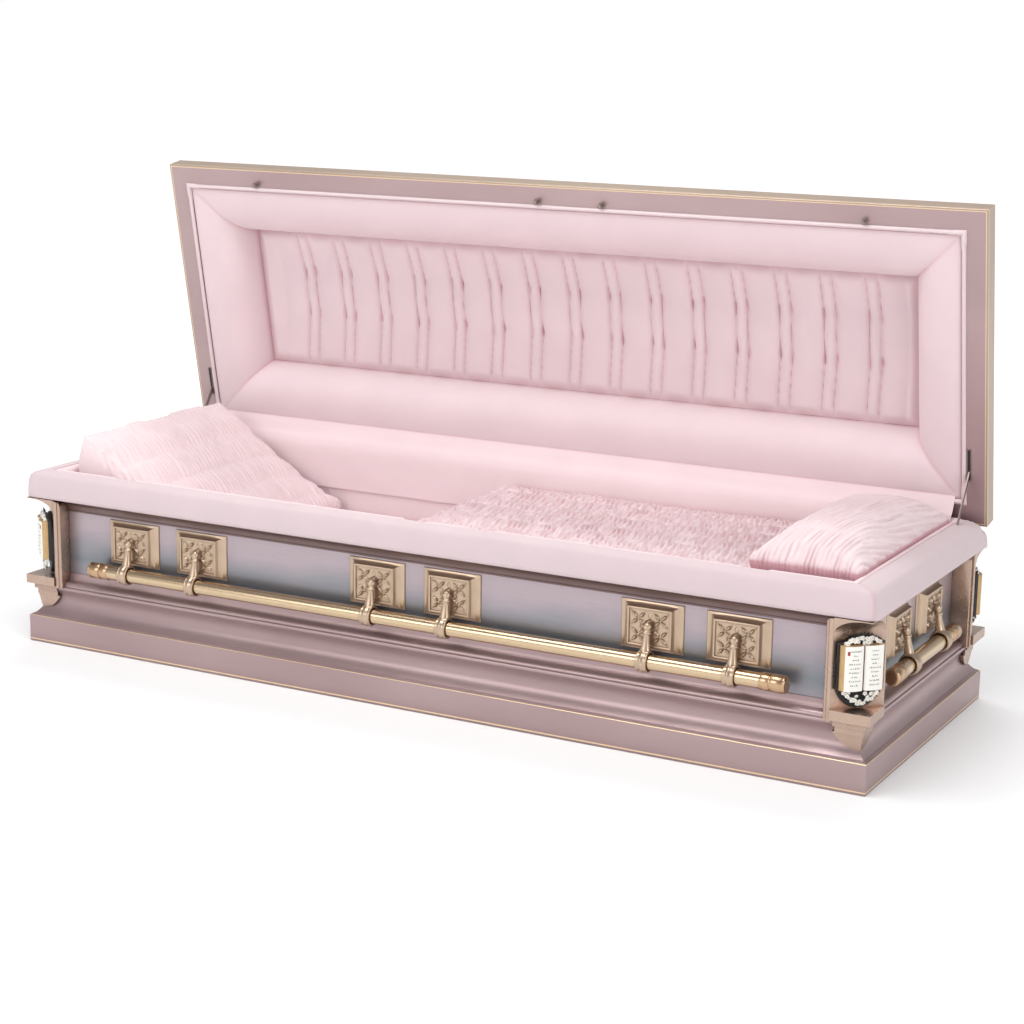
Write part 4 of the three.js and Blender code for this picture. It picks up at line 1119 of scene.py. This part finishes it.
def lid_gasket():
    sides = 14
    turns = np.linspace(0, 2 * math.pi, sides, endpoint=False)
    middle = FLANGE + GAP + 5
    unit = np.stack([np.cos(turns), np.sin(turns)], 1)
    thin = ring_grid(unit * 5 + (middle, LID_SEAT + 1), LID_X, LID_Y, 240, 90)
    fat = ring_grid(unit * 6.4 + (middle, LID_SEAT + 1), LID_X, LID_Y, 240, 90)
    away = corner_distance(thin, LID_X, LID_Y)
    along = np.minimum(LID_X - middle - np.abs(thin[..., 0]), 0)
    along += np.minimum(LID_Y - middle - np.abs(thin[..., 1]), 0)
    elbow = (smooth(34, 26, away) * (along > -40))[..., None]
    points = opened(thin * (1 - elbow) + fat * elbow)
    piece = make_object("gasket_tube", points, grid_faces(*thin.shape[:2], True, True), [TUBE], sharp=60.0)
    place(piece, "lid", "gasket", "lid_gasket")


def lid_roll():
    profile = [(ROLL_START - 2.2, 14), (ROLL_START - 2.2, 5), (ROLL_START, 1.6), (ROLL_START + 8, 1.4)]
    profile += curve((ROLL_START + 8, 1.4), (90, 1.6), (ROLL_FLAT, 6.5), 8)
    profile += curve((ROLL_FLAT, 6.5), (ROLL_INSET - 5, 20), (ROLL_INSET, ROLL_DEPTH), 22)
    profile += [(ROLL_INSET, PANEL_BACK), (ROLL_INSET - 16, PANEL_BACK), (ROLL_FLAT, 40)]
    stations = ring_grid([(e, LID_SEAT + d) for e, d in profile], LID_X, LID_Y, 220, 76)
    away = corner_distance(stations, LID_X, LID_Y)
    wave = value_noise(stations[..., 0] / 70, stations[..., 1] / 70 + stations[..., 2] / 50, 3) - 0.5
    groove = 1.2 * np.exp(-(away / 5) ** 2)
    front = np.zeros(stations.shape[:2])
    front[:, 4:-4] = 1
    moved = stations.copy()
    moved[..., 2] += front * (groove + 1.6 * wave)
    # Along each corner's mitre, a faint deeper pink: the sewn seam, and painted shade in the fold beside its
    # groove.
    seam = 0.28 * np.exp(-(away / 1.8) ** 2) * front
    faces = grid_faces(*stations.shape[:2], True, True)
    piece = make_object("lid_roll_cloth", opened(moved), faces, [PINK], sharp=60.0, seam=seam)
    pad(piece, "lid", "lid_border_roll")


def tufted_panel():
    """Upright folds between soft puffs, pinched at two heights so that each fold zigzags."""
    half_x, half_y = LID_X - ROLL_INSET - 0.5, LID_Y - ROLL_INSET - 0.5
    x, up = np.meshgrid(np.linspace(-half_x, half_x, 640), np.linspace(-half_y, half_y, 72))
    height = LID_Y - up
    bow = np.interp(height, [177, 250, 322, 376, 430, 490, 537], [-24, -12, 0, -3, 0, -11, -22])
    bow = bow * np.interp(x, [-half_x, half_x], [1.0, 0.5])
    place_in = (x - bow - RIB_FIRST) / RIB_PITCH
    number = np.clip(np.round(place_in), 0, RIBS - 1)
    off = (place_in - number) * RIB_PITCH
    rib = np.clip(1 - (off / RIB_HALF) ** 2, 0, 1) ** 0.5
    gap = RIB_PITCH - 2 * RIB_HALF
    across = np.clip((np.abs(off) - RIB_HALF) / gap, 0, 1)
    puff = np.sin(math.pi * across) ** 0.55
    outer = (np.abs(off) > RIB_PITCH / 2) * smooth(0.5, 1.0, across)
    rise = np.where(np.abs(off) < RIB_HALF, 9.5 * rib, 12.5 * np.maximum(puff, outer))
    pinch = np.zeros_like(x)
    for level in (430, 322):
        spot = np.hypot((np.abs(off) - RIB_HALF) / 5.0, (height - level) / 14.0)
        chosen = value_noise(number * 3.7 + np.sign(off), np.full_like(x, level / 7.0), 21)
        pinch += 4.5 * np.exp(-spot ** 2) * (0.3 + chosen)
    edge = np.minimum(half_x - np.abs(x), half_y - np.abs(up))
    wave = value_noise(x / 45, up / 60, 8) - 0.5
    depth = ROLL_DEPTH - (rise - pinch + 2.0 * wave) * smooth(0, 26, edge)
    # Painted shade: the seam colour in the creases beside each fold, deeper where the folds are pinched.
    crease = np.exp(-((np.abs(off) - RIB_HALF) / 1.6) ** 2) * smooth(0, 12, edge)
    seam = np.clip(crease * (0.10 + 0.11 * pinch), 0, 0.6)
    front = np.stack([x, up, LID_SEAT + depth], 2)
    build = Build()
    rows, columns = x.shape
    build.add(front, grid_faces(rows, columns))
    wall = front.reshape(-1, 3)[rim_of(rows, columns)]
    back = wall.copy()
    back[:, 2] = LID_SEAT + PANEL_BACK
    count = len(wall)
    build.add(np.stack([wall, back]), grid_faces(2, count, False, True))
    build.add(back, [tuple(range(count))])
    values = np.concatenate([seam.ravel(), np.zeros(3 * count)])
    points = opened(build.points())
    piece = make_object("lid_panel_cloth", points, build.faces, [PINK], sharp=70.0, seam=values)
    place(piece, "lid", "pink_fabric", "lid_tufted_panel")


# Soft furnishing of the body


def skirt():
    """Padded skirt over the rim: full and smooth, creased at its corners and low at the back."""
    profile = [(16, RIM + 0.6), (3, RIM + 1.2), (0.6, SKIRT_BOTTOM)]
    profile += curve((0.6, SKIRT_BOTTOM), (0.2, SKIRT_TOP - 14), (11, SKIRT_TOP - 7.5), 12)
    profile += curve((11, SKIRT_TOP - 7.5), (22, SKIRT_TOP), (SKIRT_DEPTH - 1, SKIRT_TOP - 0.6), 14)
    profile += [(SKIRT_DEPTH, SKIRT_TOP - 3), (SKIRT_DEPTH, RIM + 0.6)]
    ratio = SKIRT_END_DEPTH / SKIRT_DEPTH
    stations = ring_grid(profile, SKIRT_X, SKIRT_Y, 210, 78, lambda inset: inset * ratio)
    x, y, z = (stations[..., i] for i in range(3))
    away = np.abs((SKIRT_X - np.abs(x)) / ratio - (SKIRT_Y - np.abs(y)))
    # Each corner's mitre: a sewn seam, pressed in a little; its deeper pink is partly the seam's own and
    # partly painted shade in the crease.
    seam = np.exp(-(away / 3.0) ** 2) * (z > SKIRT_BOTTOM + 4)
    wave = value_noise(x / 90, y / 90 + z / 60, 5) - 0.5
    z += (1.8 * wave - 1.2 * seam) * smooth(SKIRT_BOTTOM, SKIRT_BOTTOM + 40, z)
    low = SKIRT_BOTTOM + (z - SKIRT_BOTTOM) * (SKIRT_BACK_TOP - SKIRT_BOTTOM) / (SKIRT_TOP - SKIRT_BOTTOM)
    drop = smooth(BODY_Y - 16, BODY_Y - 1, y)
    z[:] = np.where(z > SKIRT_BOTTOM, z * (1 - drop) + low * drop, z)
    behind = (y > BODY_Y - 2) & (np.abs(x) < HINGE_HALF + 6)
    y[:] = np.where(behind, np.maximum(y, HINGE_Y + 1.2), y)
    round_corners(stations, SKIRT_X, SKIRT_Y, SKIRT_CORNER)
    faces = grid_faces(*stations.shape[:2], True, True)
    piece = make_object("skirt_cloth", stations, faces, [SKIRT], sharp=70.0, seam=0.35 * seam)
    pad(piece, "casket", "extendover")


def lining():
    """Cloth over the inside of the walls: shirred below its rolled top, pressed in under the catch pegs."""
    half_x, half_y = BODY_X - SHEET - GAP, BODY_Y - SHEET - GAP
    base = SHEET + GAP
    profile = [(0, base), (0, LINING_TOP - 6)]
    profile += curve((0, LINING_TOP - 6), (1, LINING_TOP), (8, LINING_TOP), 5)
    profile += curve((8, LINING_TOP), (LINING_THICK, LINING_TOP - 1), (LINING_THICK, LINING_TOP - 26), 9)
    profile += [(LINING_THICK, z) for z in np.linspace(LINING_TOP - 50, base, 12)]
    stations = ring_grid(profile, half_x, half_y, 260, 90)
    x, y, z = (stations[..., i].copy() for i in range(3))
    inner = np.zeros(stations.shape[:2])
    inner[:, 12:] = 1
    along = np.where(np.abs(x) > half_x - 30, y, x)
    fold = gathers(along, z, 90.0, 24.0, 41) * 3.0 * inner * smooth(LINING_TOP, LINING_TOP - 60, z)
    stations[..., 0] = np.where(np.abs(x) > half_x - 30, x + np.sign(x) * fold, x)
    stations[..., 1] = np.where(np.abs(x) > half_x - 30, y, y + np.sign(y) * fold)
    catch = np.min(np.abs(x[..., None] - np.array(CATCH_AT)), axis=-1)
    stations[..., 2] -= 15 * smooth(30, 17, catch) * (y < 0) * smooth(LINING_TOP - 40, LINING_TOP - 12, z)
    faces = grid_faces(*stations.shape[:2], True, True)
    piece = make_object("lining_cloth", stations, faces, [BED], sharp=70.0)
    pad(piece, "casket", "body_lining")


def back_apron():
    """One smooth cloth from inside the back wall up over the hinge to the lid's roll."""
    inside = [(303.6, 300), (303.4, 360), (304.2, 398)]
    line = through([*inside, (311, 419.5), (321, 433), (328.5, 449), (334.0, 463.5)], 8)
    half = 985.0
    columns = 180
    x = np.linspace(-half, half, columns)
    rows = len(line)
    points = np.zeros((rows, columns, 3))
    points[..., 0] = x
    points[..., 1] = line[:, :1]
    points[..., 2] = line[:, 1:]
    rise = smooth(300, 330, points[..., 2]) * smooth(463, 445, points[..., 2])
    points[..., 1] -= 2.4 * rise * (value_noise(points[..., 0] / 120, points[..., 2] / 60, 13) - 0.3)
    # Painted shade: a line of the seam colour along the top edge, at the join with the lid's roll.
    seam = np.exp(-((points[..., 2] - 463) / 2.0) ** 2)
    faces = grid_faces(rows, columns)
    piece = make_object("back_apron_cloth", points, faces, [BED], sharp=80.0, seam=0.3 * seam)
    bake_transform(piece)


def soft_block(x0, x1, half_y, seam, top, under, columns, rows, soft):
    """A closed soft block: a crowned top rounded over its edges to the seam, then in to a flat underside."""
    x, y = np.meshgrid(np.linspace(x0, x1, columns), np.linspace(-half_y, half_y, rows))
    edge = np.minimum(np.minimum(x - x0, x1 - x), half_y - np.abs(y))
    rounding = np.sqrt(1 - (1 - np.clip(edge / soft, 0, 1)) ** 2)
    upper = np.stack([x, y, seam + (top(x, y) - seam) * rounding], 2)
    outer = upper.reshape(-1, 3)[rim_of(rows, columns)]
    count = len(outer)
    middle = np.array([(x0 + x1) / 2, 0, 0])
    half = np.array([(x1 - x0) / 2, half_y, 1])
    rings = [outer]
    for turn in (0.35, 0.7, 1.0):
        ring = outer.copy()
        tuck = soft * 0.6 * (1 - math.cos(turn * math.pi / 2))
        ring[:, :2] = (outer[:, :2] - middle[:2]) * (1 - tuck / half[:2]) + middle[:2]
        ring[:, 2] = seam + (under - seam) * math.sin(turn * math.pi / 2)
        rings.append(ring)
    build = Build()
    build.add(upper, grid_faces(rows, columns))
    build.add(np.stack(rings), grid_faces(len(rings), count, False, True))
    build.add(rings[-1], [tuple(range(count))])
    return build


def mattress():
    def top(x, y):
        return MATTRESS_TOP - 4 + 4 * value_noise(x / 160, y / 160, 17)

    base = SHEET + GAP
    build = soft_block(-BED_X, BED_X, BED_Y, MATTRESS_TOP - 10, top, base, 150, 80, 12.0)
    piece = make_object("mattress_cloth", build.points(), build.faces, [BED], sharp=80.0)
    pad(piece, "casket", "mattress")


def throw():
    """Cover over the foot half: rows of short shirred puckers, falling away at its head end."""
    def top(x, y):
        start = THROW_LEFT + 14 - 0.05 * y + 12 * value_noise(y / 40, x / 300, 3)
        fall = smooth(start, start + 34, x)
        crown = 1 - 0.10 * np.abs(y / BED_Y) ** 6
        puckers = gathers(x, y + 400, 86.0, 15.0, 71, 0.15) + 0.6 * gathers(x, y + 430, 52.0, 11.0, 75, 0.3)
        swell = 4 * (value_noise(x / 120, y / 110, 23) - 0.5)
        return MATTRESS_TOP + 16 + (THROW_TOP - MATTRESS_TOP - 16) * fall * crown + 10 * puckers - 6 + swell

    under = MATTRESS_TOP + GAP
    build = soft_block(THROW_LEFT, BED_X, BED_Y - 1, under + 8, top, under, 420, 150, 10.0)
    piece = make_object("throw_cloth", build.points(), build.faces, [BED], sharp=80.0)
    pad(piece, "casket", "foot_throw")


def inflated_form(build):
    """The form as a tree, with its cover blown up a little and no point moved further than the cap."""
    form = make_object("form", build.points(), build.faces, [], sharp=80.0)
    mesh = voxel_mesh(form, PILLOW_CELL)
    form.data = mesh
    start = np.array([v.co for v in mesh.vertices])
    cloth = form.modifiers.new("cloth", "CLOTH")
    cloth.settings.use_pressure = True
    cloth.settings.uniform_pressure_force = PILLOW_PRESSURE
    cloth.settings.effector_weights.gravity = 0
    cloth.settings.quality = 4
    scene = bpy.context.scene
    for number in range(1, PILLOW_FRAMES + 1):
        scene.frame_set(number)
    graph = bpy.context.evaluated_depsgraph_get()
    swollen = form.evaluated_get(graph).to_mesh()
    moved = np.array([v.co for v in swollen.vertices]) - start
    length = np.linalg.norm(moved, axis=1, keepdims=True)
    moved *= np.minimum(1, PILLOW_CAP * MM / np.maximum(length, 1e-9))
    faces = [tuple(p.vertices) for p in mesh.polygons]
    scene.frame_set(1)
    bpy.data.objects.remove(form)
    return BVHTree.FromPolygons((start + moved).tolist(), faces)


def cushion(name, size, shape, fine, coarse, ruffle, low, high):
    """A cushion: its form blown up, its cover laid over that form and gathered, kept inside a box."""
    build = soft_block(*size, *shape, *fine)
    points = build.points()
    tree = inflated_form(soft_block(*size, *shape, *coarse))
    points = np.array([tree.find_nearest(Vector(p * MM))[0] for p in points]) / MM
    piece = make_object(name, points, build.faces, [BED], sharp=80.0)
    mesh = piece.data
    points = np.array([v.co for v in mesh.vertices]) / MM
    normals = np.array([v.normal for v in mesh.vertices])
    height, seam = ruffle(points, normals)
    points = np.clip(points + normals * height[:, None], low, high)
    mesh.vertices.foreach_set("co", (points * MM).astype(np.float32).ravel())
    add_seam_and_shade(mesh, seam)
    mesh.update()
    return piece


def head_pillow():
    """Large wedge pillow, high against the head end, gathered in rows across its slope."""
    x0, x1, half_y = -BED_X + 2, -582.0, BED_Y - 4
    under = MATTRESS_TOP + 1

    def top(x, y):
        lift = np.interp(x, [-980, -958, -900, -820, -709, -640, -582], [252, 264, 226, 170, 96, 58, 36])
        swell = 4 * (value_noise(x / 90, y / 90, 9) - 0.5)
        return MATTRESS_TOP + lift * (1 - 0.05 * np.abs(y / half_y) ** 6) + swell

    def ruffle(points, normals):
        x, y = points[:, :2].T
        facing = smooth(0.05, 0.45, normals[:, 2])
        calm = 0.35 + 0.65 * smooth(x0 + 30, x0 + 120, x)
        rows = gathers(y, x + 1400, 70.0, 13.0, 91, 0.35)
        fine = gathers(y, x + 1440, 46.0, 8.0, 95, 0.35)
        bands = np.abs(np.sin(math.pi * (x + 1400) / 70)) ** 0.6
        return facing * calm * (6.0 * rows + 3.0 * fine + 4.0 * bands - 6), np.zeros(len(x))

    low, high = (-BED_X + 1, -BED_Y + 1, MATTRESS_TOP + GAP), (-540, BED_Y - 1, 522)
    piece = cushion("head_pillow_cloth", (x0, x1, half_y, under + 14), (top, under), (110, 270, 22.0),
                    (40, 50, 22.0), ruffle, low, high)
    pad(piece, "casket", "head_pillow")
    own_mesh(piece)


def foot_pillow():
    """Smaller pillow across the foot end, gathered from front to back, with a gathered frill along its edge
    and a deeper pink on its downward-facing sides as painted shade.
    """
    x0, x1, half_y = 748.0, 1000.0, 292.0
    seam_z, under = 421.0, THROW_TOP + 10

    def top(x, y):
        t, v = (x - x0) / (x1 - x0), y / half_y
        crown = (1 - np.abs(2 * t - 1) ** 2.6) * (1 - np.abs(v) ** 3.2)
        return seam_z + 14 + 46 * crown

    def ruffle(points, normals):
        x, y = points[:, :2].T
        facing = smooth(-0.3, 0.3, normals[:, 2])
        edge = np.minimum(np.minimum(x - x0, x1 - x), half_y - np.abs(y))
        folds = gathers(x, y + 930, 150.0, 12.0, 33, -0.12)
        fine = gathers(x, y + 930, 84.0, 7.5, 35, -0.12)
        around = np.where(half_y - np.abs(y) < np.minimum(x - x0, x1 - x), x, y)
        frill = gathers(around, edge * 0 + 20, 40.0, 9.0, 37) * smooth(34, 4, edge)
        # Painted shade: the seam colour on the sides that face downward.
        seam = smooth(0.5, -0.1, normals[:, 2])
        return facing * (4.4 * folds + 2.6 * fine - 3) + 5.0 * frill, 0.8 * seam

    low, high = (x0 - 12, -BED_Y + 2, THROW_TOP + 9), (1004.0, BED_Y - 2, 500)
    piece = cushion("foot_pillow_cloth", (x0, x1, half_y, seam_z), (top, under), (130, 150, 40.0),
                    (36, 60, 40.0), ruffle, low, high)
    pad(piece, "casket", "foot_pillow")
    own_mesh(piece)


make_camera()
make_studio()
base_moulding()
body_shell()
handles()
corners()
lid_shell()
lid_gasket()
lid_roll()
tufted_panel()
skirt()
lining()
back_apron()
mattress()
throw()
head_pillow()
foot_pillow()
